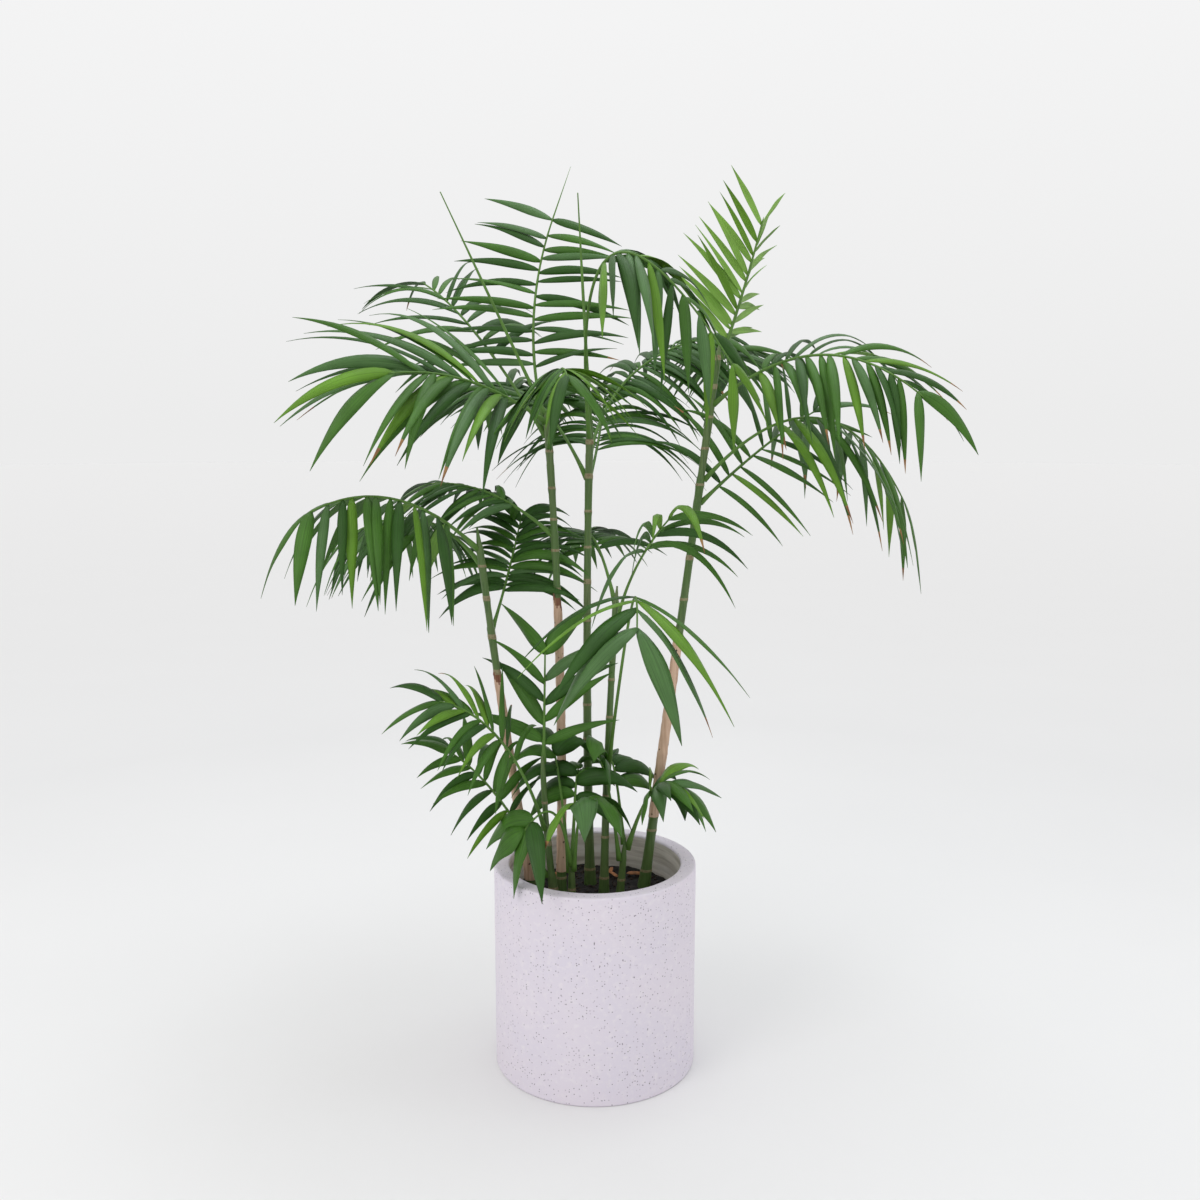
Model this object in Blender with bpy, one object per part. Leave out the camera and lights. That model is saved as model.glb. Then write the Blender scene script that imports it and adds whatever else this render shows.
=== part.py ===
"""A clump palm with slender ringed canes in a straight round planter.

The plant stands in metres, +Z up, with the origin under the middle of the planter.
+X is to the right of the front view and +Y points to the back."""

import math
import random
from dataclasses import dataclass, replace

import bmesh
import bpy
from mathutils import Matrix, Vector
from mathutils.bvhtree import BVHTree

# Planter and soil
POT_RADIUS = 0.200
POT_HEIGHT = 0.410
POT_WALL = 0.030
POT_FLOOR = 0.030
POT_EDGE = 0.004
POT_SIDES = 64
SOIL_TOP = 0.340
GAP = 0.0003

# Canes, and the rods of leaves that are still folded
CANE_SIDES = 8
CANE_STEP = 0.090
FLARE = 0.0035
FLARE_HEIGHT = 0.035
SHEATH_THICKNESS = 0.0012
SPEAR_SIDES = 5
SPEAR_STEPS = 6
SPEAR_RADII = (0.0045, 0.0012)

# Ribs of the fronds
RIB_BASE = 0.0040
RIB_TIP = 0.0019
RIB_STEPS = 24
STALK_STEPS = 5
RIB_TURNS = (0, 3, -3, 6, -6, 9, -9, 13, -13)

# Leaflets: where a blade is cut along its length, and its width there as a share
CURVE_STEPS = 12
BLADE_CUTS = (5, 9)
BLADE_WIDTHS = (1.0, 0.66)
BLADE_THICKNESS = 0.0125
ROOT_LENGTH = 0.0062
ROOT_THICKNESS = 0.0020
FIRST_ROW = 0.4
LAST_WIDTH = 1.3

# How far chance varies a leaflet, in degrees and as shares
ANGLE_CHANCE = 5
LIFT_CHANCE = 8
TWIST_CHANCE = 24
LENGTH_CHANCE = (0.93, 1.05)
WIDTH_CHANCE = (0.90, 1.08)
SAG_CHANCE = (0.75, 1.25)

# Pitch and yaw in degrees, and sizes, that a leaflet tries to stay clear of its neighbours
BLADE_TURNS = (
    (0, 0), (9, 0), (-9, 0), (0, 9), (0, -9), (16, 0), (-16, 0),
    (12, 12), (-12, 12), (12, -12), (-12, -12), (24, 0), (-24, 0),
)
BLADE_SIZES = (1.0, 0.8, 0.6)
ROOT_CLEAR = 0.012
CLEARANCE = 0.0028

SMOOTH_BELOW = 35
UP = Vector((0, 0, 1))

# Base colour and roughness of each surface
LOOKS = {
    "terrazzo": ((0.80, 0.77, 0.82), 0.75),
    "soil": ((0.030, 0.025, 0.022), 0.95),
    "cane": ((0.18, 0.28, 0.08), 0.50),
    "leaf": ((0.05, 0.17, 0.035), 0.40),
    "young_leaf": ((0.16, 0.33, 0.06), 0.45),
}


@dataclass
class Cane:
    """A stem: its foot on the soil, its top, and how far its middle bows aside.

    The sheath is the stretch of height that old leaf bases still wrap."""

    foot: tuple
    top: tuple
    bow: tuple = (0.0, 0.0)
    radii: tuple = (0.0085, 0.0060)
    sheath: tuple = (0.0, 0.0)


@dataclass
class Frond:
    """A leaf of the palm, by where its rib starts, where it ends and how it arches.

    Heading 0 points to the right and -90 to the front. Reach is level, rise is the
    height won from start to end, and arch and sweep bow the rib up and to its right.
    Shares of the rib's length say where it is bare and where its stalk is parted from
    it. Leaflets leave the rib at the spread, lifted from its plane, and sag."""

    cane: str
    height: float
    heading: float
    reach: float
    rise: float
    arch: float
    sweep: float = 0.0
    bare: float = 0.35
    parted: float = 0.0
    pairs: int = 9
    leaf: float = 0.21
    width: float = 0.026
    spread: tuple = (72, 38)
    roll: float = 0.0
    lift: float = 8.0
    sag: float = 0.9
    fork: float = 20.0
    thread: float = 0.008
    look: str = "leaf"


CANES = {
    "cane_left": Cane((-0.126, 0.020), (-0.222, -0.030, 1.075), (-0.004, 0.0), sheath=(0.36, 0.78)),
    "cane_mid_left": Cane((-0.068, 0.010), (-0.092, 0.030, 1.290), (0.011, 0.0), sheath=(0.38, 0.93)),
    "cane_middle": Cane((-0.010, 0.060), (-0.009, 0.030, 1.275), (-0.006, 0.0), (0.0095, 0.0060)),
    "cane_mid_right": Cane((0.018, 0.010), (0.043, 0.000, 0.960), (-0.004, 0.0), (0.0080, 0.0055)),
    "cane_right": Cane((0.100, 0.050), (0.240, 0.060, 1.425), (0.0, 0.0), (0.0100, 0.0060), (0.48, 0.86)),
    "shoot_front": Cane((-0.078, -0.045), (-0.100, -0.060, 0.640), (-0.004, 0.0), (0.0070, 0.0045)),
    "shoot_low_left": Cane((-0.045, -0.050), (-0.045, -0.060, 0.440), (0.0, 0.0), (0.0055, 0.0045)),
    "shoot_low_right": Cane((0.050, 0.000), (0.060, -0.010, 0.460), (0.0, 0.0), (0.0055, 0.0045)),
}

FRONDS = {
    # Left cane
    "frond_left_front": Frond(
        "cane_left", 1.040, -148, 0.33, 0.075, 0.057, 0.005,
        bare=0.14, leaf=0.24, pairs=11, spread=(100, 52), roll=18, lift=-26, sag=1.6, fork=24,
    ),
    "frond_left_back": Frond(
        "cane_left", 1.010, 152, 0.31, 0.04, 0.053, 0.02,
        bare=0.2, leaf=0.22, pairs=9, spread=(90, 42), roll=10, lift=-25, sag=1.2,
    ),
    "frond_left_rear": Frond(
        "cane_left", 0.880, 73, 0.17, 0.20, -0.01,
        leaf=0.18, pairs=7, spread=(80, 50), sag=1.0,
    ),
    # Middle left cane
    "frond_upright_back": Frond(
        "cane_mid_left", 1.270, 87, 0.15, 0.405, 0.0, -0.03,
        bare=0.25, leaf=0.19, pairs=12, spread=(86, 76), sag=0.35, fork=84, thread=0.115,
    ),
    "frond_high_left_back": Frond(
        "cane_mid_left", 1.250, 139, 0.35, 0.305, 0.043, -0.015,
        leaf=0.21, spread=(70, 30), roll=15, lift=14, fork=10,
    ),
    "frond_high_left_front": Frond(
        "cane_mid_left", 1.275, -138, 0.345, 0.08, 0.03, 0.005,
        bare=0.22, leaf=0.29, width=0.028, pairs=12, spread=(60, 16), roll=46, lift=4, sag=0.8, fork=10,
    ),
    "frond_high_front": Frond(
        "cane_mid_left", 1.230, -80, 0.24, 0.12, 0.06,
        leaf=0.19, pairs=6, lift=-20, sag=1.4,
    ),
    "frond_high_back": Frond(
        "cane_mid_left", 1.190, 100, 0.38, 0.12, 0.08,
        leaf=0.22,
    ),
    "frond_mid_left_back": Frond(
        "cane_mid_left", 1.060, 160, 0.27, 0.09, 0.03,
        bare=0.25, leaf=0.16, pairs=8, roll=10, lift=-10, sag=0.8,
    ),
    # Middle cane
    "frond_arching_right": Frond(
        "cane_middle", 1.250, -32, 0.305, 0.115, 0.245, 0.165,
        bare=0.42, leaf=0.20, width=0.028, pairs=11, spread=(75, 38), roll=-20, lift=-15, sag=1.4, parted=0.40,
    ),
    "frond_middle_right_back": Frond(
        "cane_middle", 1.210, 39, 0.33, 0.24, 0.037, -0.07,
        leaf=0.20, roll=-20, lift=-10, sag=1.2,
    ),
    "frond_middle_back": Frond(
        "cane_middle", 1.165, 80, 0.19, 0.17, -0.02,
        bare=0.4, leaf=0.26, width=0.022, pairs=6, spread=(75, 45), sag=1.4,
    ),
    "frond_middle_left_back": Frond(
        "cane_middle", 1.170, 128, 0.36, 0.15, 0.08,
        leaf=0.21,
    ),
    # Middle right cane
    "frond_front": Frond(
        "cane_mid_right", 0.620, -83, 0.37, 0.315, 0.16, -0.015,
        bare=0.68, leaf=0.27, width=0.031, pairs=3, roll=16, lift=-12, sag=1.1, fork=45, parted=0.66,
    ),
    "frond_mid_right": Frond(
        "cane_mid_right", 0.880, -46, 0.145, 0.22, 0.01, 0.02,
        bare=0.65, leaf=0.24, width=0.024, pairs=4, lift=-5, sag=1.5, fork=35, parted=0.63,
    ),
    "frond_mid_right_back": Frond(
        "cane_mid_right", 0.930, 110, 0.25, 0.10, 0.06,
        leaf=0.18, pairs=7,
    ),
    # Right cane
    "frond_top_right": Frond(
        "cane_right", 1.400, 25, 0.095, 0.255, -0.02, -0.005,
        bare=0.15, leaf=0.17, width=0.024, pairs=12, spread=(62, 42), roll=72, lift=28, sag=0.2, fork=42,
        look="young_leaf",
    ),
    "frond_right_high": Frond(
        "cane_right", 1.310, -30, 0.405, 0.01, 0.08, -0.015,
        bare=0.2, leaf=0.21, width=0.028, pairs=13, spread=(78, 30), roll=-36, lift=-4, sag=1.2, fork=35,
    ),
    "frond_right_low": Frond(
        "cane_right", 1.165, 14, 0.435, -0.05, 0.14, 0.04,
        bare=0.3, leaf=0.26, width=0.028, pairs=11, spread=(75, 30), roll=-15, lift=-22, sag=1.5,
    ),
    "frond_right_side": Frond(
        "cane_right", 1.120, 23, 0.265, 0.175, 0.015, 0.01,
        bare=0.1, leaf=0.20, width=0.022, pairs=9, spread=(88, 38), roll=-50, sag=0.6,
    ),
    "frond_right_back": Frond(
        "cane_right", 1.270, 78, 0.38, 0.10, 0.10,
        leaf=0.21,
    ),
    # Shoots
    "frond_shoot_left": Frond(
        "shoot_front", 0.500, -150, 0.215, 0.27, 0.055, -0.035,
        bare=0.35, leaf=0.155, width=0.022, pairs=9, spread=(70, 30), roll=50,
    ),
    "frond_shoot_low": Frond(
        "shoot_front", 0.400, -176, 0.195, 0.25, 0.033,
        leaf=0.13, width=0.022, pairs=7, roll=50,
    ),
    "frond_shoot_up": Frond(
        "shoot_front", 0.630, 81, 0.03, 0.21, -0.005,
        bare=0.1, leaf=0.17, width=0.024, pairs=4, spread=(56, 40), sag=0.4,
    ),
    "frond_low_left": Frond(
        "shoot_low_left", 0.430, -141, 0.115, 0.08, 0.075, -0.02,
        bare=0.85, leaf=0.155, width=0.042, pairs=1, spread=(85, 60), sag=1.6, fork=28,
    ),
    "frond_low_front": Frond(
        "shoot_low_left", 0.420, -75, 0.05, 0.14, 0.03,
        bare=0.7, leaf=0.15, width=0.040, pairs=1, sag=2.5,
    ),
    "frond_low_back": Frond(
        "shoot_low_left", 0.435, 80, 0.07, 0.16, 0.04,
        bare=0.4, leaf=0.13, width=0.032, pairs=3, sag=1.6,
    ),
    "frond_low_left_back": Frond(
        "shoot_low_left", 0.410, 125, 0.07, 0.24, 0.04,
        bare=0.6, leaf=0.13, width=0.036, pairs=2, sag=1.8,
    ),
    "frond_low_middle": Frond(
        "shoot_low_right", 0.420, -165, 0.05, 0.21, 0.03,
        bare=0.75, leaf=0.13, width=0.050, pairs=1, sag=1.6, fork=35,
    ),
    "frond_low_middle_back": Frond(
        "shoot_low_right", 0.450, 110, 0.09, 0.15, 0.04,
        bare=0.4, leaf=0.13, width=0.032, pairs=3, sag=1.5,
    ),
    "frond_low_right": Frond(
        "shoot_low_right", 0.450, -25, 0.10, 0.135, 0.04,
        bare=0.45, leaf=0.125, width=0.028, pairs=4, spread=(75, 30), roll=-15, sag=0.8,
    ),
    "frond_low_right_back": Frond(
        "shoot_low_right", 0.440, 25, 0.11, 0.11, 0.05,
        bare=0.6, leaf=0.15, width=0.042, pairs=2, sag=2.0,
    ),
}

# The cane that each folded leaf goes on from, and its tip
SPEARS = {
    "spear_left": ("cane_mid_left", (-0.290, 0.050, 1.700)),
    "spear_middle": ("cane_middle", (-0.032, 0.060, 1.700)),
}


def mix(a, b, share):
    return a + (b - a) * share


def stack(rings):
    """A closed solid through rings of equally many points, capped at both ends."""
    sides = len(rings[0])
    verts = [point for ring in rings for point in ring]
    faces = [tuple(reversed(range(sides))), tuple(range(len(verts) - sides, len(verts)))]
    for i in range(len(rings) - 1):
        for k in range(sides):
            a, b = i * sides + k, i * sides + (k + 1) % sides
            faces.append((a, b, b + sides, a + sides))
    return verts, faces


def level_ring(centre, radius, sides):
    turns = [2 * math.pi * k / sides for k in range(sides)]
    return [centre + radius * Vector((math.cos(turn), math.sin(turn), 0)) for turn in turns]


def turned(profile):
    """A solid turned about Z from radius and height, with its first and last ring capped."""
    return stack([level_ring(UP * height, radius, POT_SIDES) for radius, height in profile])


def pot_shape():
    """The planter: a straight wall with a rounded rim, and a floor under the soil."""
    inner = POT_RADIUS - POT_WALL
    rim = POT_HEIGHT - POT_EDGE
    bends = [(math.sin(turn), math.cos(turn)) for turn in (0, math.pi / 4, math.pi / 2)]
    outside = [(POT_RADIUS - POT_EDGE + POT_EDGE * c, rim + POT_EDGE * s) for s, c in bends]
    inside = [(inner + POT_EDGE - POT_EDGE * s, rim + POT_EDGE * c) for s, c in bends]
    foot = [(POT_RADIUS - POT_EDGE, 0.0), (POT_RADIUS, POT_EDGE)]
    return turned(foot + outside + inside + [(inner, POT_FLOOR)])


def soil_shape():
    radius = POT_RADIUS - POT_WALL - GAP
    return turned([(radius, POT_FLOOR + GAP), (radius, SOIL_TOP)])


def cane_point(cane, height):
    """The centre of a cane at a height above the floor."""
    share = (height - SOIL_TOP) / (cane.top[2] - SOIL_TOP)
    bulge = 4 * share * (1 - share)
    x, y = (mix(cane.foot[i], cane.top[i], share) + bulge * cane.bow[i] for i in (0, 1))
    return Vector((x, y, height))


def cane_radius(cane, height):
    """Tapers upward, flares at the soil and is thicker where the old sheath wraps it."""
    share = (height - SOIL_TOP) / (cane.top[2] - SOIL_TOP)
    radius = mix(*cane.radii, share)
    radius += FLARE * math.exp(-(height - SOIL_TOP) / FLARE_HEIGHT)
    if cane.sheath[0] < height < cane.sheath[1]:
        radius += SHEATH_THICKNESS
    return radius


def cane_heights(cane):
    """Heights of a cane's rings, closer together where it flares at the soil."""
    low, high = SOIL_TOP + GAP, cane.top[2]
    steps = round((high - low) / CANE_STEP)
    levels = [mix(low, high, i / steps) for i in range(steps + 1)]
    levels += [low + FLARE_HEIGHT * share for share in (0.4, 1.0)]
    return sorted(levels)


def cane_shape(cane):
    """A cane's tube. Its rings lie level, so that it is cut flat at the soil."""
    heights = cane_heights(cane)
    return stack([level_ring(cane_point(cane, z), cane_radius(cane, z), CANE_SIDES) for z in heights])


def spear_shape(cane, tip):
    """A leaf that is still folded: a thin rod that goes on from the top of its cane."""
    start, end = Vector(cane.top) + UP * GAP, Vector(tip)
    shares = [i / SPEAR_STEPS for i in range(SPEAR_STEPS + 1)]
    return stack([level_ring(start.lerp(end, s), mix(*SPEAR_RADII, s), SPEAR_SIDES) for s in shares])


class Rib:
    """The curved stalk and rib of a frond, with its directions at any share of its length."""

    def __init__(self, frond, turn):
        cane = CANES[frond.cane]
        heading = math.radians(frond.heading + turn)
        out = Vector((math.cos(heading), math.sin(heading), 0))
        centre = cane_point(cane, frond.height)
        self.right = Vector((out.y, -out.x, 0))
        self.roll = math.radians(frond.roll)
        self.end = centre + out * frond.reach + UP * frond.rise
        lift = 2 * frond.arch * UP + 2 * frond.sweep * self.right
        steep = (0.5 * (self.end - centre) + lift).normalized()
        level = (steep - UP * steep.z).normalized()
        clear = cane_radius(cane, frond.height) + RIB_BASE * steep.z + 2 * GAP
        self.start = centre + level * clear
        self.control = 0.5 * (self.start + self.end) + lift
        self.thread = (self.end - self.control).normalized() * frond.thread

    def point(self, share):
        a, b, c = self.start, self.control, self.end
        return a * (1 - share) ** 2 + b * (2 * share * (1 - share)) + c * share**2

    def axes(self, share):
        """Ahead along the rib, to its right and up from its face, rolled about it."""
        ahead = (self.control - self.start) * (1 - share) + (self.end - self.control) * share
        ahead.normalize()
        right = (self.right - ahead * self.right.dot(ahead)).normalized()
        rolled = right * math.cos(self.roll) + right.cross(ahead) * math.sin(self.roll)
        return ahead, rolled, rolled.cross(ahead)

    def length(self):
        points = [self.point(i / CURVE_STEPS) for i in range(CURVE_STEPS + 1)]
        return sum((b - a).length for a, b in zip(points, points[1:]))

    def ring(self, share, extra=0.0):
        """A three-sided section: its right edge, left edge and keel."""
        _, right, up = self.axes(share)
        radius = mix(RIB_BASE, RIB_TIP, share) + extra
        wide, high = right * (radius * math.cos(math.pi / 6)), up * (radius * 0.5)
        centre = self.point(share)
        return [centre + wide + high, centre - wide + high, centre - up * radius]

    def stalk(self, last):
        """The bare stalk up to a share of the rib's length."""
        return stack([self.ring(last * i / STALK_STEPS) for i in range(STALK_STEPS + 1)])

    def room(self):
        """The space that the rib needs with the thread that it is drawn out to."""
        rings = [self.ring(i / RIB_STEPS, CLEARANCE * min(1.0, i / 2)) for i in range(RIB_STEPS + 1)]
        return stack(rings + [[self.thread + self.end.lerp(point, 0.5) for point in rings[-1]]])


@dataclass
class Blade:
    """A leaflet: where it starts, which way it points and lies, its size and its sag."""

    root: Vector
    along: Vector
    across: Vector
    length: float
    width: float
    sag: float
    share: float
    side: int

    def line(self):
        """Its middle's points and directions, as it bends down under its own weight."""
        points, ways = [self.root], [self.along]
        for i in range(1, CURVE_STEPS + 1):
            way = self.way((i - 0.5) / CURVE_STEPS)
            points.append(points[-1] + way * (self.length / CURVE_STEPS))
            ways.append(self.way(i / CURVE_STEPS))
        return points, ways

    def way(self, share):
        return (self.along - UP * (self.sag * share)).normalized()

    def down(self, way, across):
        """The underside, which is the same side of its rib on left and right."""
        return across.cross(way) * self.side

    def sections(self, extra):
        """Front edge, back edge and keel where it is cut, and its tip."""
        points, ways = self.line()
        thick = max(self.length * BLADE_THICKNESS, ROOT_THICKNESS) + extra
        sections = []
        for cut, share in zip(BLADE_CUTS, BLADE_WIDTHS):
            across = (self.across - ways[cut] * self.across.dot(ways[cut])).normalized()
            down = self.down(ways[cut], across)
            half = across * ((self.width * share + extra) / 2)
            face = points[cut] - down * (thick / 3)
            sections.append([face + half, face - half, points[cut] + down * (thick * 2 / 3)])
        return sections, points[-1]

    def room(self, first):
        """The space it needs from a distance off its rib, a little larger than itself."""
        sections, tip = self.sections(CLEARANCE)
        start = self.root + self.along * first
        half = self.across * ((ROOT_LENGTH + CLEARANCE) / 2)
        keel = self.down(self.along, self.across) * (ROOT_THICKNESS + CLEARANCE)
        verts, faces = stack([[start + half, start - half, start + keel]] + sections)
        del faces[1]
        last = len(verts)
        faces += [(last - 3, last - 2, last), (last - 2, last - 1, last), (last - 1, last - 3, last)]
        return verts + [tip], faces


def wanted_blade(frond, rib, share, place, side, dice):
    """A leaflet as it would grow with nothing in its way, varied by chance."""
    ahead, right, up = rib.axes(share)
    last = place == 1
    angle = mix(*frond.spread, place) + dice.uniform(-ANGLE_CHANCE, ANGLE_CHANCE)
    angle = math.radians(frond.fork if last else angle)
    lift = math.radians(frond.lift + dice.uniform(-LIFT_CHANCE, LIFT_CHANCE))
    outward = right * (side * math.cos(lift)) + up * math.sin(lift)
    along = ahead * math.cos(angle) + outward * math.sin(angle)
    across = (ahead - along * ahead.dot(along)).normalized()
    twist = math.radians(dice.uniform(-TWIST_CHANCE, TWIST_CHANCE))
    across = Matrix.Rotation(twist, 3, along) @ across
    swell = 0.8 + 0.2 * math.sin(math.pi * min(1.0, 0.15 + place))
    length = frond.leaf * swell * dice.uniform(*LENGTH_CHANCE)
    width = frond.width * (LAST_WIDTH if last else 1.0) * dice.uniform(*WIDTH_CHANCE)
    sag = frond.sag * dice.uniform(*SAG_CHANCE)
    return Blade(rib.point(share), along, across, length, width, sag, share, side)


def wanted_blades(frond, rib, dice):
    """Rows of leaflets in pairs, left and right a little apart, and a last pair at the end."""
    root = ROOT_LENGTH / rib.length()
    blades = []
    for row in range(frond.pairs + 1):
        place = (row + FIRST_ROW) / (frond.pairs + FIRST_ROW)
        first_side = 1 if row % 2 else -1
        for step in (1, -1):
            share = mix(frond.bare, 1 - 3 * root, place) + 0.5 * root * step
            if row == frond.pairs:
                share = 1 - root
            blades.append(wanted_blade(frond, rib, share, place, step * first_side, dice))
    return blades


def turned_blade(blade, pitch, yaw, size):
    """The same leaflet turned a little up or down and forward or back, or made smaller."""
    turn = Matrix.Rotation(math.radians(pitch), 3, blade.across)
    turn = turn @ Matrix.Rotation(math.radians(yaw), 3, blade.along.cross(blade.across))
    return replace(
        blade,
        along=turn @ blade.along,
        across=turn @ blade.across,
        length=blade.length * size,
        width=blade.width * mix(0.5, 1.0, size),
    )


class Space:
    """What has been placed so far, so that the next shape can be tested against it."""

    def __init__(self):
        self.things = []

    def bounds(self, verts):
        low = [min(v[i] for v in verts) for i in range(3)]
        high = [max(v[i] for v in verts) for i in range(3)]
        return low, high

    def add(self, shape, owner=None):
        self.things.append((owner, *self.bounds(shape[0]), BVHTree.FromPolygons(*shape)))

    def touches(self, shape, owners):
        """Whether a shape meets anything whose owner the test function picks."""
        low, high = self.bounds(shape[0])
        tree = BVHTree.FromPolygons(*shape)
        for owner, other_low, other_high, other_tree in self.things:
            apart = any(low[i] > other_high[i] or high[i] < other_low[i] for i in range(3))
            if not apart and owners(owner) and tree.overlap(other_tree):
                return True
        return False

    def fits(self, blade, name):
        """Its root may lie in its own frond's rib, but nothing of it in another's space."""
        if self.touches(blade.room(0.0), lambda owner: owner != name):
            return False
        return not self.touches(blade.room(ROOT_CLEAR), lambda owner: owner == name)


def clear_rib(name, space):
    """The frond's rib, turned a little about its cane where something is in its way."""
    ribs = (Rib(FRONDS[name], turn) for turn in RIB_TURNS)
    rib = next(rib for rib in ribs if not space.touches(rib.room(), lambda owner: True))
    space.add(rib.room(), name)
    return rib


def clear_blades(name, rib, space, dice):
    """The frond's leaflets. One that finds no room is left out."""
    kept = []
    for blade in wanted_blades(FRONDS[name], rib, dice):
        tries = (turned_blade(blade, *turn, size) for size in BLADE_SIZES for turn in BLADE_TURNS)
        found = next((tried for tried in tries if space.fits(tried, name)), None)
        if found:
            kept.append(found)
            space.add(found.room(0.0), name)
    return kept


def root_span(rib, blade):
    """The stretch of the rib that a leaflet grows out of."""
    half = 0.5 * ROOT_LENGTH / rib.length()
    return round(blade.share - half, 5), round(blade.share + half, 5)


def add_blade(verts, root, blade):
    """Grows a leaflet out of the four corners of its root and gives its faces."""
    back, front, keel_front, keel_back = root
    sections, tip = blade.sections(0.0)
    first = len(verts)
    verts += [point for section in sections for point in section] + [tip]
    f, b, k = first, first + 1, first + 2
    faces = [(back, front, f, b), (front, keel_front, k, f), (back, b, k, keel_back)]
    faces.append((keel_back, k, keel_front))
    for a in range(first, first + 3 * len(sections) - 3, 3):
        faces += [(a, a + 3, a + 4, a + 1), (a + 1, a + 4, a + 5, a + 2), (a + 2, a + 5, a + 3, a)]
    a = len(verts) - 4
    return faces + [(a, a + 3, a + 1), (a + 1, a + 3, a + 2), (a + 2, a + 3, a)]


def frond_shape(frond, rib, blades):
    """A frond as one closed solid: each leaflet grows out of a side face of the rib."""
    first = frond.parted + GAP / rib.length() if frond.parted else 0.0
    spans = {(blade.side, root_span(rib, blade)): blade for blade in blades}
    edges = {edge for _, span in spans for edge in span}
    bare = {mix(first, min(edges), i / STALK_STEPS) for i in range(STALK_STEPS)}
    cuts = sorted(bare | edges | {1.0})
    verts = [point for cut in cuts for point in rib.ring(cut)]
    faces = [(0, 1, 2)]
    for i, span in enumerate(zip(cuts, cuts[1:])):
        near, far = 3 * i, 3 * i + 3
        faces.append((near, far, far + 1, near + 1))
        for side, edge in ((1, 0), (-1, 1)):
            root = (near + edge, far + edge, far + 2, near + 2)
            blade = spans.get((side, span))
            faces += add_blade(verts, root, blade) if blade else [root]
    last = 3 * len(cuts) - 3
    verts.append(rib.end + rib.thread)
    faces += [(last + k, last + (k + 1) % 3, len(verts) - 1) for k in range(3)]
    return verts, faces


def grow():
    """All ribs first, then every leaflet that finds room: each frond's rib and leaflets."""
    space = Space()
    space.add(pot_shape())
    space.add(soil_shape())
    for cane in CANES.values():
        space.add(cane_shape(cane))
    for cane, tip in SPEARS.values():
        space.add(spear_shape(CANES[cane], tip))
    ribs = {name: clear_rib(name, space) for name in FRONDS}
    plan = {}
    for seed, (name, rib) in enumerate(ribs.items()):
        plan[name] = (rib, clear_blades(name, rib, space, random.Random(seed)))
    return plan


def material(name):
    """A plain surface with the colour and roughness of the real one."""
    made = bpy.data.materials.get(name)
    if made is None:
        colour, roughness = LOOKS[name]
        made = bpy.data.materials.new(name)
        made.use_nodes = True
        shader = made.node_tree.nodes["Principled BSDF"]
        shader.inputs["Base Color"].default_value = (*colour, 1)
        shader.inputs["Roughness"].default_value = roughness
        shader.inputs["Metallic"].default_value = 0.0
    return made


def add_object(name, shape, look):
    """One object from vertices and faces, with its faces turned outward."""
    mesh = bpy.data.meshes.new(name)
    bm = bmesh.new()
    verts = [bm.verts.new(v) for v in shape[0]]
    for face in shape[1]:
        bm.faces.new([verts[i] for i in face])
    bmesh.ops.recalc_face_normals(bm, faces=bm.faces)
    bm.to_mesh(mesh)
    bm.free()
    mesh.shade_smooth()
    mesh.set_sharp_from_angle(angle=math.radians(SMOOTH_BELOW))
    mesh.materials.append(material(look))
    bpy.context.scene.collection.objects.link(bpy.data.objects.new(name, mesh))


def main():
    for old in list(bpy.data.objects):
        bpy.data.objects.remove(old)
    add_object("pot", pot_shape(), "terrazzo")
    add_object("soil", soil_shape(), "soil")
    for name, cane in CANES.items():
        add_object(name, cane_shape(cane), "cane")
    for name, (cane, tip) in SPEARS.items():
        add_object(name, spear_shape(CANES[cane], tip), "young_leaf")
    plan = grow()
    for name, (rib, blades) in plan.items():
        frond = FRONDS[name]
        if frond.parted:
            add_object(f"{name}_stalk", rib.stalk(frond.parted), frond.look)
        add_object(name, frond_shape(frond, rib, blades), frond.look)
    return plan


if __name__ == "__main__":
    main()
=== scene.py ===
"""Dresses the potted palm: fine leaflets, ribs, ringed canes, soil and a terrazzo planter."""

import math
import random
from dataclasses import dataclass, replace

import bpy
import numpy as np
from mathutils import Matrix, Vector, noise
from mathutils.bvhtree import BVHTree


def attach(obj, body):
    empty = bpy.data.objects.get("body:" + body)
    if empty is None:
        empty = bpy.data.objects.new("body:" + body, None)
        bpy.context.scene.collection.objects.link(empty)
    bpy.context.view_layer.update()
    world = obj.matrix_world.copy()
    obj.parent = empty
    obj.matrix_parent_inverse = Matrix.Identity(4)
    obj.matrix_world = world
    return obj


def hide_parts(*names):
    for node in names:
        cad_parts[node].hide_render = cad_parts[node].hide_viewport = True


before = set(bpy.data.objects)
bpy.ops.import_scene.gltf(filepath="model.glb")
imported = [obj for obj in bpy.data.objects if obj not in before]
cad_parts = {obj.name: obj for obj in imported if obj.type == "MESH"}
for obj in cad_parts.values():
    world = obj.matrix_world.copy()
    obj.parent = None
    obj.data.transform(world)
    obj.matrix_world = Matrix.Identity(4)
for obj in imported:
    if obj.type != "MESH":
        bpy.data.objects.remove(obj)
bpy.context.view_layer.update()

# Planter and soil
POT_RADIUS = 0.200
POT_HEIGHT = 0.410
POT_WALL = 0.030
POT_FLOOR = 0.030
POT_EDGE = 0.004
POT_SIDES = 64
EDGE_STEPS = 2
SOIL_TOP = 0.340
GAP = 0.0003

# Canes, and the rods of leaves that are still folded
CANE_SIDES = 8
CANE_STEP = 0.090
FLARE = 0.0035
FLARE_HEIGHT = 0.035
SHEATH_THICKNESS = 0.0012
SPEAR_SIDES = 5
SPEAR_STEPS = 6
SPEAR_RADII = (0.0045, 0.0012)

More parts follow.
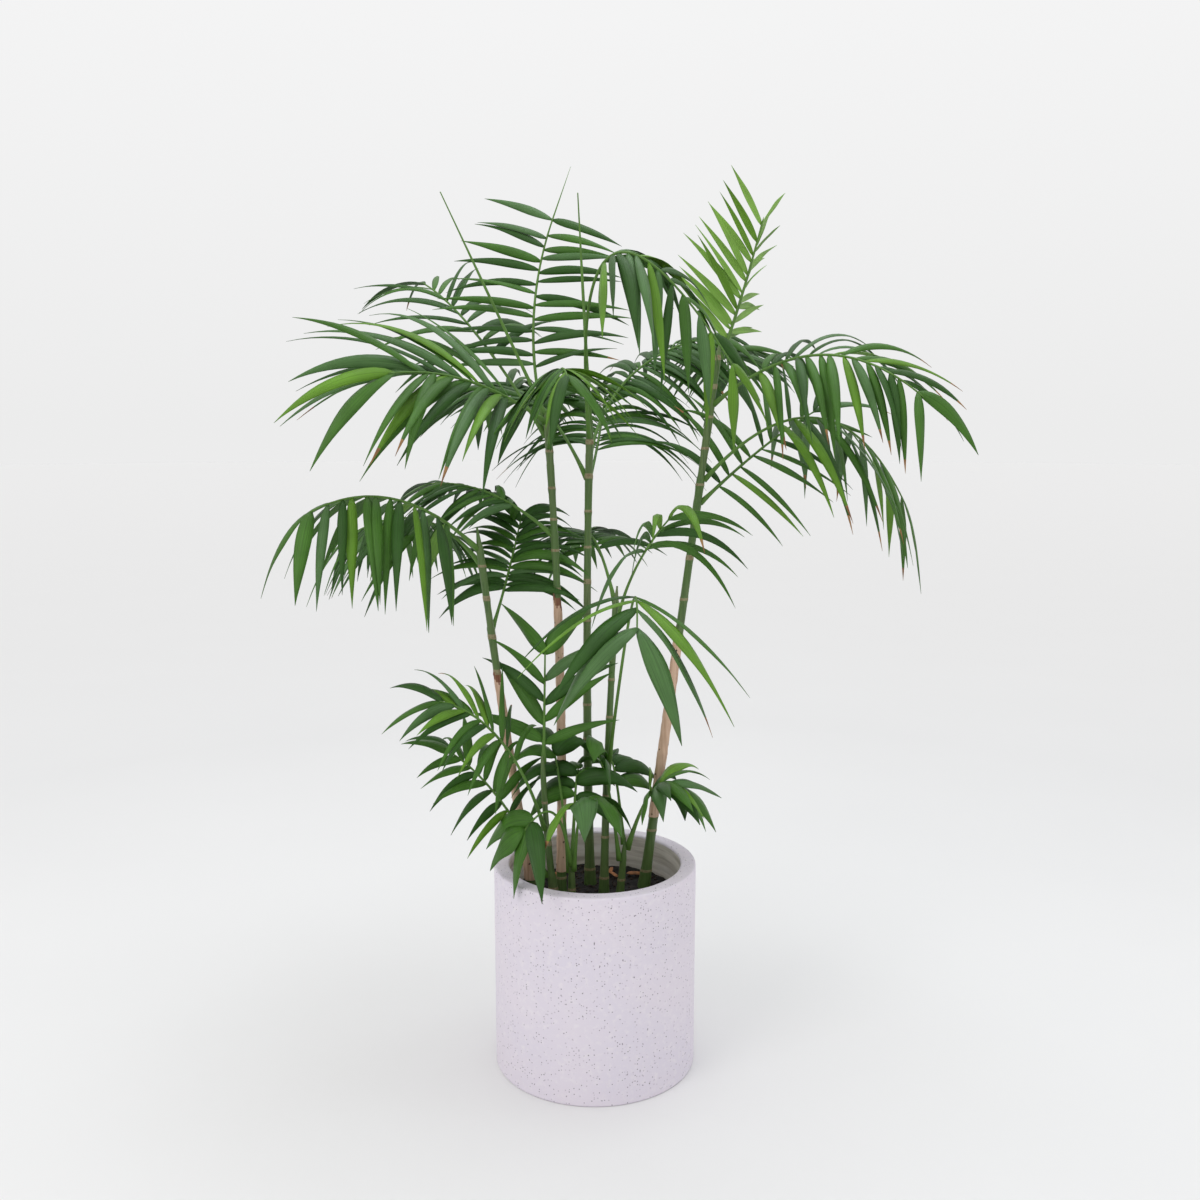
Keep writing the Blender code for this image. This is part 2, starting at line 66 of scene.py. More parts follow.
# Ribs of the fronds
RIB_BASE = 0.0040
RIB_TIP = 0.0019
RIB_STEPS = 24
RIB_TURNS = (0, 3, -3, 6, -6, 9, -9, 13, -13)

# Leaflets: where a blade is cut along its length, and its width there as a share
CURVE_STEPS = 12
BLADE_CUTS = (5, 9)
BLADE_WIDTHS = (1.0, 0.66)
BLADE_THICKNESS = 0.0125
ROOT_LENGTH = 0.0062
ROOT_THICKNESS = 0.0020
FIRST_ROW = 0.4
LAST_WIDTH = 1.3

# How far chance varies a leaflet, in degrees and as shares
ANGLE_CHANCE = 5
LIFT_CHANCE = 8
TWIST_CHANCE = 24
LENGTH_CHANCE = (0.93, 1.05)
WIDTH_CHANCE = (0.90, 1.08)
SAG_CHANCE = (0.75, 1.25)

# Pitch and yaw in degrees, and sizes, that a leaflet tries to stay clear of its neighbours
BLADE_TURNS = (
    (0, 0), (9, 0), (-9, 0), (0, 9), (0, -9), (16, 0), (-16, 0),
    (12, 12), (-12, 12), (12, -12), (-12, -12), (24, 0), (-24, 0),
)
BLADE_SIZES = (1.0, 0.8, 0.6)
ROOT_CLEAR = 0.012
CLEARANCE = 0.0028

UP = Vector((0, 0, 1))


@dataclass
class Cane:
    """A stem: its foot on the soil, its top, and how far its middle bows aside.

    The sheath is the stretch of height that old leaf bases still wrap."""

    foot: tuple
    top: tuple
    bow: tuple = (0.0, 0.0)
    radii: tuple = (0.0085, 0.0060)
    sheath: tuple = (0.0, 0.0)


@dataclass
class Frond:
    """A leaf of the palm, by where its rib starts, where it ends and how it arches.

    Heading 0 points to the right and -90 to the front. Reach is level, rise is the
    height won from start to end, and arch and sweep bow the rib up and to its right.
    Shares of the rib's length say where it is bare and where its stalk is parted from
    it. Leaflets leave the rib at the spread, lifted from its plane, and sag."""

    cane: str
    height: float
    heading: float
    reach: float
    rise: float
    arch: float
    sweep: float = 0.0
    bare: float = 0.35
    parted: float = 0.0
    pairs: int = 9
    leaf: float = 0.21
    width: float = 0.026
    spread: tuple = (72, 38)
    roll: float = 0.0
    lift: float = 8.0
    sag: float = 0.9
    fork: float = 20.0
    thread: float = 0.008
    look: str = "leaf"


CANES = {
    "cane_left": Cane((-0.126, 0.020), (-0.222, -0.030, 1.075), (-0.004, 0.0), sheath=(0.36, 0.78)),
    "cane_mid_left": Cane((-0.068, 0.010), (-0.092, 0.030, 1.290), (0.011, 0.0), sheath=(0.38, 0.93)),
    "cane_middle": Cane((-0.010, 0.060), (-0.009, 0.030, 1.275), (-0.006, 0.0), (0.0095, 0.0060)),
    "cane_mid_right": Cane((0.018, 0.010), (0.043, 0.000, 0.960), (-0.004, 0.0), (0.0080, 0.0055)),
    "cane_right": Cane((0.100, 0.050), (0.240, 0.060, 1.425), (0.0, 0.0), (0.0100, 0.0060), (0.48, 0.86)),
    "shoot_front": Cane((-0.078, -0.045), (-0.100, -0.060, 0.640), (-0.004, 0.0), (0.0070, 0.0045)),
    "shoot_low_left": Cane((-0.045, -0.050), (-0.045, -0.060, 0.440), (0.0, 0.0), (0.0055, 0.0045)),
    "shoot_low_right": Cane((0.050, 0.000), (0.060, -0.010, 0.460), (0.0, 0.0), (0.0055, 0.0045)),
}

FRONDS = {
    # Left cane
    "frond_left_front": Frond(
        "cane_left", 1.040, -148, 0.33, 0.075, 0.057, 0.005,
        bare=0.14, leaf=0.24, pairs=11, spread=(100, 52), roll=18, lift=-26, sag=1.6, fork=24,
    ),
    "frond_left_back": Frond(
        "cane_left", 1.010, 152, 0.31, 0.04, 0.053, 0.02,
        bare=0.2, leaf=0.22, pairs=9, spread=(90, 42), roll=10, lift=-25, sag=1.2,
    ),
    "frond_left_rear": Frond(
        "cane_left", 0.880, 73, 0.17, 0.20, -0.01,
        leaf=0.18, pairs=7, spread=(80, 50), sag=1.0,
    ),
    # Middle left cane
    "frond_upright_back": Frond(
        "cane_mid_left", 1.270, 87, 0.15, 0.405, 0.0, -0.03,
        bare=0.25, leaf=0.19, pairs=12, spread=(86, 76), sag=0.35, fork=84, thread=0.115,
    ),
    "frond_high_left_back": Frond(
        "cane_mid_left", 1.250, 139, 0.35, 0.305, 0.043, -0.015,
        leaf=0.21, spread=(70, 30), roll=15, lift=14, fork=10,
    ),
    "frond_high_left_front": Frond(
        "cane_mid_left", 1.275, -138, 0.345, 0.08, 0.03, 0.005,
        bare=0.22, leaf=0.29, width=0.028, pairs=12, spread=(60, 16), roll=46, lift=4, sag=0.8, fork=10,
    ),
    "frond_high_front": Frond(
        "cane_mid_left", 1.230, -80, 0.24, 0.12, 0.06,
        leaf=0.19, pairs=6, lift=-20, sag=1.4,
    ),
    "frond_high_back": Frond("cane_mid_left", 1.190, 100, 0.38, 0.12, 0.08, leaf=0.22),
    "frond_mid_left_back": Frond(
        "cane_mid_left", 1.060, 160, 0.27, 0.09, 0.03,
        bare=0.25, leaf=0.16, pairs=8, roll=10, lift=-10, sag=0.8,
    ),
    # Middle cane
    "frond_arching_right": Frond(
        "cane_middle", 1.250, -32, 0.305, 0.115, 0.245, 0.165,
        bare=0.42, leaf=0.20, width=0.028, pairs=11, spread=(75, 38), roll=-20, lift=-15, sag=1.4,
        parted=0.40,
    ),
    "frond_middle_right_back": Frond(
        "cane_middle", 1.210, 39, 0.33, 0.24, 0.037, -0.07,
        leaf=0.20, roll=-20, lift=-10, sag=1.2,
    ),
    "frond_middle_back": Frond(
        "cane_middle", 1.165, 80, 0.19, 0.17, -0.02,
        bare=0.4, leaf=0.26, width=0.022, pairs=6, spread=(75, 45), sag=1.4,
    ),
    "frond_middle_left_back": Frond("cane_middle", 1.170, 128, 0.36, 0.15, 0.08, leaf=0.21),
    # Middle right cane
    "frond_front": Frond(
        "cane_mid_right", 0.620, -83, 0.37, 0.315, 0.16, -0.015,
        bare=0.68, leaf=0.27, width=0.031, pairs=3, roll=16, lift=-12, sag=1.1, fork=45, parted=0.66,
    ),
    "frond_mid_right": Frond(
        "cane_mid_right", 0.880, -46, 0.145, 0.22, 0.01, 0.02,
        bare=0.65, leaf=0.24, width=0.024, pairs=4, lift=-5, sag=1.5, fork=35, parted=0.63,
    ),
    "frond_mid_right_back": Frond("cane_mid_right", 0.930, 110, 0.25, 0.10, 0.06, leaf=0.18, pairs=7),
    # Right cane
    "frond_top_right": Frond(
        "cane_right", 1.400, 25, 0.095, 0.255, -0.02, -0.005,
        bare=0.15, leaf=0.17, width=0.024, pairs=12, spread=(62, 42), roll=72, lift=28, sag=0.2, fork=42,
        look="young_leaf",
    ),
    "frond_right_high": Frond(
        "cane_right", 1.310, -30, 0.405, 0.01, 0.08, -0.015,
        bare=0.2, leaf=0.21, width=0.028, pairs=13, spread=(78, 30), roll=-36, lift=-4, sag=1.2, fork=35,
    ),
    "frond_right_low": Frond(
        "cane_right", 1.165, 14, 0.435, -0.05, 0.14, 0.04,
        bare=0.3, leaf=0.26, width=0.028, pairs=11, spread=(75, 30), roll=-15, lift=-22, sag=1.5,
    ),
    "frond_right_side": Frond(
        "cane_right", 1.120, 23, 0.265, 0.175, 0.015, 0.01,
        bare=0.1, leaf=0.20, width=0.022, pairs=9, spread=(88, 38), roll=-50, sag=0.6,
    ),
    "frond_right_back": Frond("cane_right", 1.270, 78, 0.38, 0.10, 0.10, leaf=0.21),
    # Shoots
    "frond_shoot_left": Frond(
        "shoot_front", 0.500, -150, 0.215, 0.27, 0.055, -0.035,
        bare=0.35, leaf=0.155, width=0.022, pairs=9, spread=(70, 30), roll=50,
    ),
    "frond_shoot_low": Frond(
        "shoot_front", 0.400, -176, 0.195, 0.25, 0.033,
        leaf=0.13, width=0.022, pairs=7, roll=50,
    ),
    "frond_shoot_up": Frond(
        "shoot_front", 0.630, 81, 0.03, 0.21, -0.005,
        bare=0.1, leaf=0.17, width=0.024, pairs=4, spread=(56, 40), sag=0.4,
    ),
    "frond_low_left": Frond(
        "shoot_low_left", 0.430, -141, 0.115, 0.08, 0.075, -0.02,
        bare=0.85, leaf=0.155, width=0.042, pairs=1, spread=(85, 60), sag=1.6, fork=28,
    ),
    "frond_low_front": Frond(
        "shoot_low_left", 0.420, -75, 0.05, 0.14, 0.03,
        bare=0.7, leaf=0.15, width=0.040, pairs=1, sag=2.5,
    ),
    "frond_low_back": Frond(
        "shoot_low_left", 0.435, 80, 0.07, 0.16, 0.04,
        bare=0.4, leaf=0.13, width=0.032, pairs=3, sag=1.6,
    ),
    "frond_low_left_back": Frond(
        "shoot_low_left", 0.410, 125, 0.07, 0.24, 0.04,
        bare=0.6, leaf=0.13, width=0.036, pairs=2, sag=1.8,
    ),
    "frond_low_middle": Frond(
        "shoot_low_right", 0.420, -165, 0.05, 0.21, 0.03,
        bare=0.75, leaf=0.13, width=0.050, pairs=1, sag=1.6, fork=35,
    ),
    "frond_low_middle_back": Frond(
        "shoot_low_right", 0.450, 110, 0.09, 0.15, 0.04,
        bare=0.4, leaf=0.13, width=0.032, pairs=3, sag=1.5,
    ),
    "frond_low_right": Frond(
        "shoot_low_right", 0.450, -25, 0.10, 0.135, 0.04,
        bare=0.45, leaf=0.125, width=0.028, pairs=4, spread=(75, 30), roll=-15, sag=0.8,
    ),
    "frond_low_right_back": Frond(
        "shoot_low_right", 0.440, 25, 0.11, 0.11, 0.05,
        bare=0.6, leaf=0.15, width=0.042, pairs=2, sag=2.0,
    ),
}

# The cane that each folded leaf goes on from, and its tip
SPEARS = {
    "spear_left": ("cane_mid_left", (-0.290, 0.050, 1.700)),
    "spear_middle": ("cane_middle", (-0.032, 0.060, 1.700)),
}


def mix(a, b, share):
    return a + (b - a) * share


def stack(rings):
    """A closed solid through rings of equally many points, capped at both ends."""
    sides = len(rings[0])
    verts = [point for ring in rings for point in ring]
    faces = [tuple(reversed(range(sides))), tuple(range(len(verts) - sides, len(verts)))]
    for i in range(len(rings) - 1):
        for k in range(sides):
            a, b = i * sides + k, i * sides + (k + 1) % sides
            faces.append((a, b, b + sides, a + sides))
    return verts, faces


def turns_round(sides):
    return [2 * math.pi * k / sides for k in range(sides)]


def level_way(turn):
    return Vector((math.cos(turn), math.sin(turn), 0))


def level_ring(centre, radius, sides):
    return [centre + radius * level_way(turn) for turn in turns_round(sides)]


def turned(profile):
    """A solid turned about Z from radius and height, with its first and last ring capped."""
    return stack([level_ring(UP * height, radius, POT_SIDES) for radius, height in profile])


def pot_profile(steps):
    """The planter's radius and height from its foot to its floor, with rounded edges."""
    inner, rim = POT_RADIUS - POT_WALL, POT_HEIGHT - POT_EDGE
    turns = [0.5 * math.pi * i / steps for i in range(steps + 1)]
    bends = [(POT_EDGE * math.cos(turn), POT_EDGE * math.sin(turn)) for turn in turns]
    foot = [(POT_RADIUS - POT_EDGE + b, POT_EDGE - a) for a, b in bends]
    outside = [(POT_RADIUS - POT_EDGE + a, rim + b) for a, b in bends]
    inside = [(inner + POT_EDGE - b, rim + a) for a, b in bends]
    return foot + outside + inside + [(inner, POT_FLOOR)]


def soil_shape():
    radius = POT_RADIUS - POT_WALL - GAP
    return turned([(radius, POT_FLOOR + GAP), (radius, SOIL_TOP)])


def cane_point(cane, height):
    """The centre of a cane at a height above the floor."""
    share = (height - SOIL_TOP) / (cane.top[2] - SOIL_TOP)
    bulge = 4 * share * (1 - share)
    x, y = (mix(cane.foot[i], cane.top[i], share) + bulge * cane.bow[i] for i in (0, 1))
    return Vector((x, y, height))


def cane_radius(cane, height):
    """Tapers upward, flares at the soil and is thicker where the old sheath wraps it."""
    share = (height - SOIL_TOP) / (cane.top[2] - SOIL_TOP)
    radius = mix(*cane.radii, share)
    radius += FLARE * math.exp(-(height - SOIL_TOP) / FLARE_HEIGHT)
    if cane.sheath[0] < height < cane.sheath[1]:
        radius += SHEATH_THICKNESS
    return radius


def cane_heights(cane):
    """Heights of a cane's rings, closer together where it flares at the soil."""
    low, high = SOIL_TOP + GAP, cane.top[2]
    steps = round((high - low) / CANE_STEP)
    levels = [mix(low, high, i / steps) for i in range(steps + 1)]
    levels += [low + FLARE_HEIGHT * share for share in (0.4, 1.0)]
    return sorted(levels)


def cane_shape(cane):
    """A cane's tube. Its rings lie level, so that it is cut flat at the soil."""
    heights = cane_heights(cane)
    return stack([level_ring(cane_point(cane, z), cane_radius(cane, z), CANE_SIDES) for z in heights])


def spear_shape(cane, tip):
    """A leaf that is still folded: a thin rod that goes on from the top of its cane."""
    start, end = Vector(cane.top) + UP * GAP, Vector(tip)
    shares = [i / SPEAR_STEPS for i in range(SPEAR_STEPS + 1)]
    return stack([level_ring(start.lerp(end, s), mix(*SPEAR_RADII, s), SPEAR_SIDES) for s in shares])


class Rib:
    """The curved stalk and rib of a frond, with its directions at any share of its length."""

    def __init__(self, frond, turn):
        cane = CANES[frond.cane]
        heading = math.radians(frond.heading + turn)
        out = level_way(heading)
        centre = cane_point(cane, frond.height)
        self.right = Vector((out.y, -out.x, 0))
        self.roll = math.radians(frond.roll)
        self.end = centre + out * frond.reach + UP * frond.rise
        lift = 2 * frond.arch * UP + 2 * frond.sweep * self.right
        steep = (0.5 * (self.end - centre) + lift).normalized()
        level = (steep - UP * steep.z).normalized()
        clear = cane_radius(cane, frond.height) + RIB_BASE * steep.z + 2 * GAP
        self.start = centre + level * clear
        self.control = 0.5 * (self.start + self.end) + lift
        self.thread = (self.end - self.control).normalized() * frond.thread

    def point(self, share):
        a, b, c = self.start, self.control, self.end
        return a * (1 - share) ** 2 + b * (2 * share * (1 - share)) + c * share**2

    def axes(self, share):
        """Ahead along the rib, to its right and up from its face, rolled about it."""
        ahead = (self.control - self.start) * (1 - share) + (self.end - self.control) * share
        ahead.normalize()
        right = (self.right - ahead * self.right.dot(ahead)).normalized()
        rolled = right * math.cos(self.roll) + right.cross(ahead) * math.sin(self.roll)
        return ahead, rolled, rolled.cross(ahead)

    def length(self):
        points = [self.point(i / CURVE_STEPS) for i in range(CURVE_STEPS + 1)]
        return sum((b - a).length for a, b in zip(points, points[1:]))

    def ring(self, share, extra=0.0):
        """A three-sided section: its right edge, left edge and keel."""
        _, right, up = self.axes(share)
        radius = mix(RIB_BASE, RIB_TIP, share) + extra
        wide, high = right * (radius * math.cos(math.pi / 6)), up * (radius * 0.5)
        centre = self.point(share)
        return [centre + wide + high, centre - wide + high, centre - up * radius]

    def room(self):
        """The space that the rib needs with the thread that it is drawn out to."""
        rings = [self.ring(i / RIB_STEPS, CLEARANCE * min(1.0, i / 2)) for i in range(RIB_STEPS + 1)]
        return stack(rings + [[self.thread + self.end.lerp(point, 0.5) for point in rings[-1]]])


@dataclass
class Blade:
    """A leaflet: where it starts, which way it points and lies, its size and its sag."""

    root: Vector
    along: Vector
    across: Vector
    length: float
    width: float
    sag: float
    share: float
    side: int

    def line(self):
        """Its middle's points and directions, as it bends down under its own weight."""
        points, ways = [self.root], [self.along]
        for i in range(1, CURVE_STEPS + 1):
            way = self.way((i - 0.5) / CURVE_STEPS)
            points.append(points[-1] + way * (self.length / CURVE_STEPS))
            ways.append(self.way(i / CURVE_STEPS))
        return points, ways

    def way(self, share):
        return (self.along - UP * (self.sag * share)).normalized()

    def down(self, way, across):
        """The underside, which is the same side of its rib on left and right."""
        return across.cross(way) * self.side

    def sections(self, extra):
        """Front edge, back edge and keel where it is cut, and its tip."""
        points, ways = self.line()
        thick = max(self.length * BLADE_THICKNESS, ROOT_THICKNESS) + extra
        sections = []
        for cut, share in zip(BLADE_CUTS, BLADE_WIDTHS):
            across = (self.across - ways[cut] * self.across.dot(ways[cut])).normalized()
            down = self.down(ways[cut], across)
            half = across * ((self.width * share + extra) / 2)
            face = points[cut] - down * (thick / 3)
            sections.append([face + half, face - half, points[cut] + down * (thick * 2 / 3)])
        return sections, points[-1]

    def room(self, first):
        """The space it needs from a distance off its rib, a little larger than itself."""
        sections, tip = self.sections(CLEARANCE)
        start = self.root + self.along * first
        half = self.across * ((ROOT_LENGTH + CLEARANCE) / 2)
        keel = self.down(self.along, self.across) * (ROOT_THICKNESS + CLEARANCE)
        verts, faces = stack([[start + half, start - half, start + keel]] + sections)
        del faces[1]
        last = len(verts)
        faces += [(last - 3, last - 2, last), (last - 2, last - 1, last), (last - 1, last - 3, last)]
        return verts + [tip], faces


def wanted_blade(frond, rib, share, place, side, dice):
    """A leaflet as it would grow with nothing in its way, varied by chance."""
    ahead, right, up = rib.axes(share)
    last = place == 1
    angle = mix(*frond.spread, place) + dice.uniform(-ANGLE_CHANCE, ANGLE_CHANCE)
    angle = math.radians(frond.fork if last else angle)
    lift = math.radians(frond.lift + dice.uniform(-LIFT_CHANCE, LIFT_CHANCE))
    outward = right * (side * math.cos(lift)) + up * math.sin(lift)
    along = ahead * math.cos(angle) + outward * math.sin(angle)
    across = (ahead - along * ahead.dot(along)).normalized()
    twist = math.radians(dice.uniform(-TWIST_CHANCE, TWIST_CHANCE))
    across = Matrix.Rotation(twist, 3, along) @ across
    swell = 0.8 + 0.2 * math.sin(math.pi * min(1.0, 0.15 + place))
    length = frond.leaf * swell * dice.uniform(*LENGTH_CHANCE)
    width = frond.width * (LAST_WIDTH if last else 1.0) * dice.uniform(*WIDTH_CHANCE)
    sag = frond.sag * dice.uniform(*SAG_CHANCE)
    return Blade(rib.point(share), along, across, length, width, sag, share, side)


def wanted_blades(frond, rib, dice):
    """Rows of leaflets in pairs, left and right a little apart, and a last pair at the end."""
    root = ROOT_LENGTH / rib.length()
    blades = []
    for row in range(frond.pairs + 1):
        place = (row + FIRST_ROW) / (frond.pairs + FIRST_ROW)
        first_side = 1 if row % 2 else -1
        for step in (1, -1):
            share = mix(frond.bare, 1 - 3 * root, place) + 0.5 * root * step
            if row == frond.pairs:
                share = 1 - root
            blades.append(wanted_blade(frond, rib, share, place, step * first_side, dice))
    return blades


def turned_blade(blade, pitch, yaw, size):
    """The same leaflet turned a little up or down and forward or back, or made smaller."""
    turn = Matrix.Rotation(math.radians(pitch), 3, blade.across)
    turn = turn @ Matrix.Rotation(math.radians(yaw), 3, blade.along.cross(blade.across))
    return replace(
        blade,
        along=turn @ blade.along,
        across=turn @ blade.across,
        length=blade.length * size,
        width=blade.width * mix(0.5, 1.0, size),
    )


class Space:
    """What has been placed so far, so that the next shape can be tested against it."""

    def __init__(self):
        self.things = []

    def bounds(self, verts):
        low = [min(v[i] for v in verts) for i in range(3)]
        high = [max(v[i] for v in verts) for i in range(3)]
        return low, high

    def add(self, shape, owner=None):
        self.things.append((owner, *self.bounds(shape[0]), BVHTree.FromPolygons(*shape)))

    def touches(self, shape, owners):
        """Whether a shape meets anything whose owner the test function picks."""
        low, high = self.bounds(shape[0])
        tree = BVHTree.FromPolygons(*shape)
        for owner, other_low, other_high, other_tree in self.things:
            apart = any(low[i] > other_high[i] or high[i] < other_low[i] for i in range(3))
            if not apart and owners(owner) and tree.overlap(other_tree):
                return True
        return False

    def fits(self, blade, name):
        """Its root may lie in its own frond's rib, but nothing of it in another's space."""
        if self.touches(blade.room(0.0), lambda owner: owner != name):
            return False
        return not self.touches(blade.room(ROOT_CLEAR), lambda owner: owner == name)


def clear_rib(name, space):
    """The frond's rib, turned a little about its cane where something is in its way."""
    ribs = (Rib(FRONDS[name], turn) for turn in RIB_TURNS)
    rib = next(rib for rib in ribs if not space.touches(rib.room(), lambda owner: True))
    space.add(rib.room(), name)
    return rib


def clear_blades(name, rib, space, dice):
    """The frond's leaflets. One that finds no room is left out."""
    kept = []
    for blade in wanted_blades(FRONDS[name], rib, dice):
        tries = (turned_blade(blade, *turn, size) for size in BLADE_SIZES for turn in BLADE_TURNS)
        found = next((tried for tried in tries if space.fits(tried, name)), None)
        if found:
            kept.append(found)
            space.add(found.room(0.0), name)
    return kept


def grow():
    """All ribs first, then every leaflet that finds room: each frond's rib and leaflets."""
    space = Space()
    space.add(turned(pot_profile(EDGE_STEPS)))
    space.add(soil_shape())
    for cane in CANES.values():
        space.add(cane_shape(cane))
    for cane, tip in SPEARS.values():
        space.add(spear_shape(CANES[cane], tip))
    ribs = {name: clear_rib(name, space) for name in FRONDS}
    plan = {}
    for seed, (name, rib) in enumerate(ribs.items()):
        plan[name] = (rib, clear_blades(name, rib, space, random.Random(seed)))
    return plan


# Fine planter and potting mix. Edges that bend by more than the sharp angle stay sharp
POT_FINE_SIDES = 160
EDGE_FINE_STEPS = 6
POT_SHARP = 50
SOIL_RINGS = 36
SOIL_SPOKES = 120
SOIL_MIDDLE = 0.001
SOIL_DEPTH = 0.030
SOIL_DIP = 0.003
LUMP_HEIGHT = 0.004
BROAD_LUMPS = 38
FINE_LUMPS = 95

# Bark chips and dry scraps of leaf on the potting mix
CHIPS = 420
CHIP_SEED = 11
CHIP_SIZES = (0.0025, 0.0065)
CHIP_WIDTHS = (0.35, 0.7)
CHIP_HEIGHTS = (0.25, 0.45)
CHIP_TILT = 0.5
CHIP_MARGIN = 0.008
CHIP_RISE = 0.001
CHIP_LEVELS = ((-1, 0.7), (0, 1.0), (1, 0.6))
CHIP_CORNERS = ((1, 0.2), (0.3, 1), (-0.8, 0.7), (-1, -0.5), (0.1, -1))
LITTER_SEED = 5
LITTER_SPOTS = (
    (0.045, 0.075), (0.065, 0.095), (0.030, 0.100), (-0.085, 0.085),
    (-0.070, 0.065), (0.010, -0.080), (0.090, -0.020),
)
LITTER_LENGTHS = (0.034, 0.052)
LITTER_WIDTH = 0.013
LITTER_SAG = 0.45
LITTER_RISE = 0.006
LITTER_SLOPE = 0.10
LITTER_TILT = 0.3

# Fine canes: leaf scars as rings, frond bases wrapped round below each frond, and sheaths
CANE_FINE_SIDES = 20
CANE_FINE_STEP = 0.005
CANE_SHARP = 60
CANE_SINK = 0.006
CANE_END = 0.045
CANE_END_SHARE = 0.12
RING_SPACING = (0.060, 0.092)
RING_UNEVEN = (0.85, 1.15)
RING_LIP = 0.0009
RING_HEIGHT = 0.0045
FIRST_RING = 0.030
LAST_RING = 0.02
SCAR_BAND = (-0.0035, 0.0025)
BASE_WRAP = 0.0013
BASE_WRAP_LENGTH = 0.090
SHEATH_END = 0.016
SHEATH_WAVES = (0.010, 0.005)
CRINKLES = (0.0004, 0.0003)
CRINKLE_PITCH = 190

# Folded leaves
SPEAR_FINE_STEPS = 30
SPEAR_FINE_SIDES = 12
SPEAR_SINK = 0.010
SPEAR_PLEATS = 4
SPEAR_PLEAT_DEPTH = 0.13
SPEAR_PLEAT_TURN = 2.5

# Ribs: how much slimmer than the solid's, how swollen at the cane and at each leaflet
RIB_FINE_STEPS = 44
RIB_FINE_SIDES = 8
RIB_SINK = 0.007
RIB_SLIM = 0.82
RIB_SWELL = 0.7
RIB_SWELL_LENGTH = 0.02
KNOT_SWELL = 0.15
KNOT_LENGTH = 0.004
THREAD_RADIUS = 0.0003

# Leaflets: angles in degrees, and shares of the solid's leaflet or of its half width
LEAF_STEPS = 14
LAST_CUT = 0.999
LEAF_COLUMNS = (-1.0, -0.5, 0.0, 0.5, 1.0)
LEAF_SEED = 100
OUTLINE_ROOT = 0.20
OUTLINE_TIP = 0.015
OUTLINE_LEAN = 0.66
OUTLINE_ROUND = 1.05
LEAF_FOLD = 0.36
LEAF_RIPPLE = 0.10
LEAF_RIPPLE_PITCH = 9
LEAF_THICKNESS = 0.0005
LEAF_TWIST = 38
LEAF_UNEVEN = (0.82, 1.15)
LEAF_YAW = 8
SAG_UNEVEN = (0.75, 1.35)
LEAF_SHINE = 0.30
TIP_FACES = 2
DRY_TIPS = {"frond_right_high": 0.45, "frond_right_low": 0.3, "frond_high_left_front": 0.15}
DRY_ELSEWHERE = 0.04

# How slim a frond's leaflets are. Open fronds show more sky between them, low ones stay
# broad, and at the back and top there are more and finer ones
OPEN_SLIM, BROAD_SLIM, FINE_SLIM, LEAF_SLIM = 0.60, 0.98, 0.66, 0.78
OPEN_FRONDS = (
    "frond_top_right", "frond_right_high", "frond_right_low", "frond_right_side",
    "frond_mid_right", "frond_upright_back", "frond_high_left_back",
)
BROAD_FRONDS = ("frond_low", "frond_front", "frond_shoot_up")
FINE_FRONDS = (
    "frond_high_front", "frond_high_back", "frond_middle", "frond_left_back",
    "frond_left_rear", "frond_right_back", "frond_mid_left_back", "frond_mid_right_back",
)

# More leaflets stand between two on one side of a rib that are this near, as a share of it
FILL_WITHIN = 0.14
FILL_SIZES = (0.78, 1.0)

# Where a ripple round a sheath or along a leaflet starts, in radians
WAVE_STARTS = (0, 6)

# Camera: the photograph's view from the front, a little above the middle of the plant
CAMERA_AT = (0.010, -2.310, 1.270)
CAMERA_PITCH = 8.3
LENS = 36.33
SENSOR = 36

# The sky is a little darker at the horizon, and the floor's colour grows paler far off to meet it: painted
# light on the floor
SKY_LOW = (0.840, 0.840, 0.840)
SKY_HIGH = (0.905, 0.905, 0.907)
SKY_RISE = 0.30
FLOOR_RADII = (0.001, 2.0, 8.0, 40.0)
FLOOR_SIDES = 64
FLOOR_NEAR = (0.800, 0.800, 0.800)
FLOOR_FAR_PAINTED_LIGHT = (0.940, 0.938, 0.935)
FLOOR_NEAR_REACH = 2.8
FLOOR_MOTTLE = 0.985

# Square area lights: place, target, size, power and colour
LIGHTS = {
    "key_light": ((-2.0, -2.2, 3.2), (0, 0, 0.9), 1.6, 26, (1.0, 0.97, 0.94)),
    "top_light": ((0.6, 0.4, 3.8), (0, 0, 1.0), 2.0, 30, (0.90, 0.95, 1.0)),
}

# Specks: the share of one that is full, and how softly their cells are chosen
SPECK_CORE = 0.7
SPECK_SOFT = 0.02

# Linear base colours, with the roughness of each surface
GREENS = {
    "leaf_deep": ((0.022, 0.078, 0.007), 0.48),
    "leaf_mid": ((0.043, 0.128, 0.011), 0.46),
    "leaf_bright": ((0.098, 0.225, 0.015), 0.46),
    # A bluish green that is painted sheen: it stands in for the sky's reflection on glossy leaflets
    "leaf_blue": ((0.060, 0.140, 0.038), 0.38),
    "leaf_young": ((0.180, 0.350, 0.055), 0.48),
    "rib_green": ((0.080, 0.170, 0.030), 0.50),
}

# Also their patches' colour, how sharp and how fine those are, and the grain and its depth
ROUGH = {
    "dry_tip": ((0.30, 0.16, 0.055), 0.8, (0.16, 0.07, 0.03), (0.4, 0.7), 60, 300, 0.0004),
    "cane_scar": ((0.26, 0.24, 0.13), 0.7, (0.20, 0.14, 0.075), (0.45, 0.65), 220, 400, 0.0004),
    "potting_mix": ((0.012, 0.011, 0.012), 0.95, (0.034, 0.027, 0.023), (0.5, 0.7), 120, 500, 0.0012),
    "bark_chips": ((0.026, 0.018, 0.015), 0.9, (0.060, 0.038, 0.026), (0.45, 0.65), 150, 500, 0.0008),
    "dry_litter": ((0.42, 0.17, 0.065), 0.8, (0.24, 0.11, 0.05), (0.4, 0.7), 90, 300, 0.0005),
}
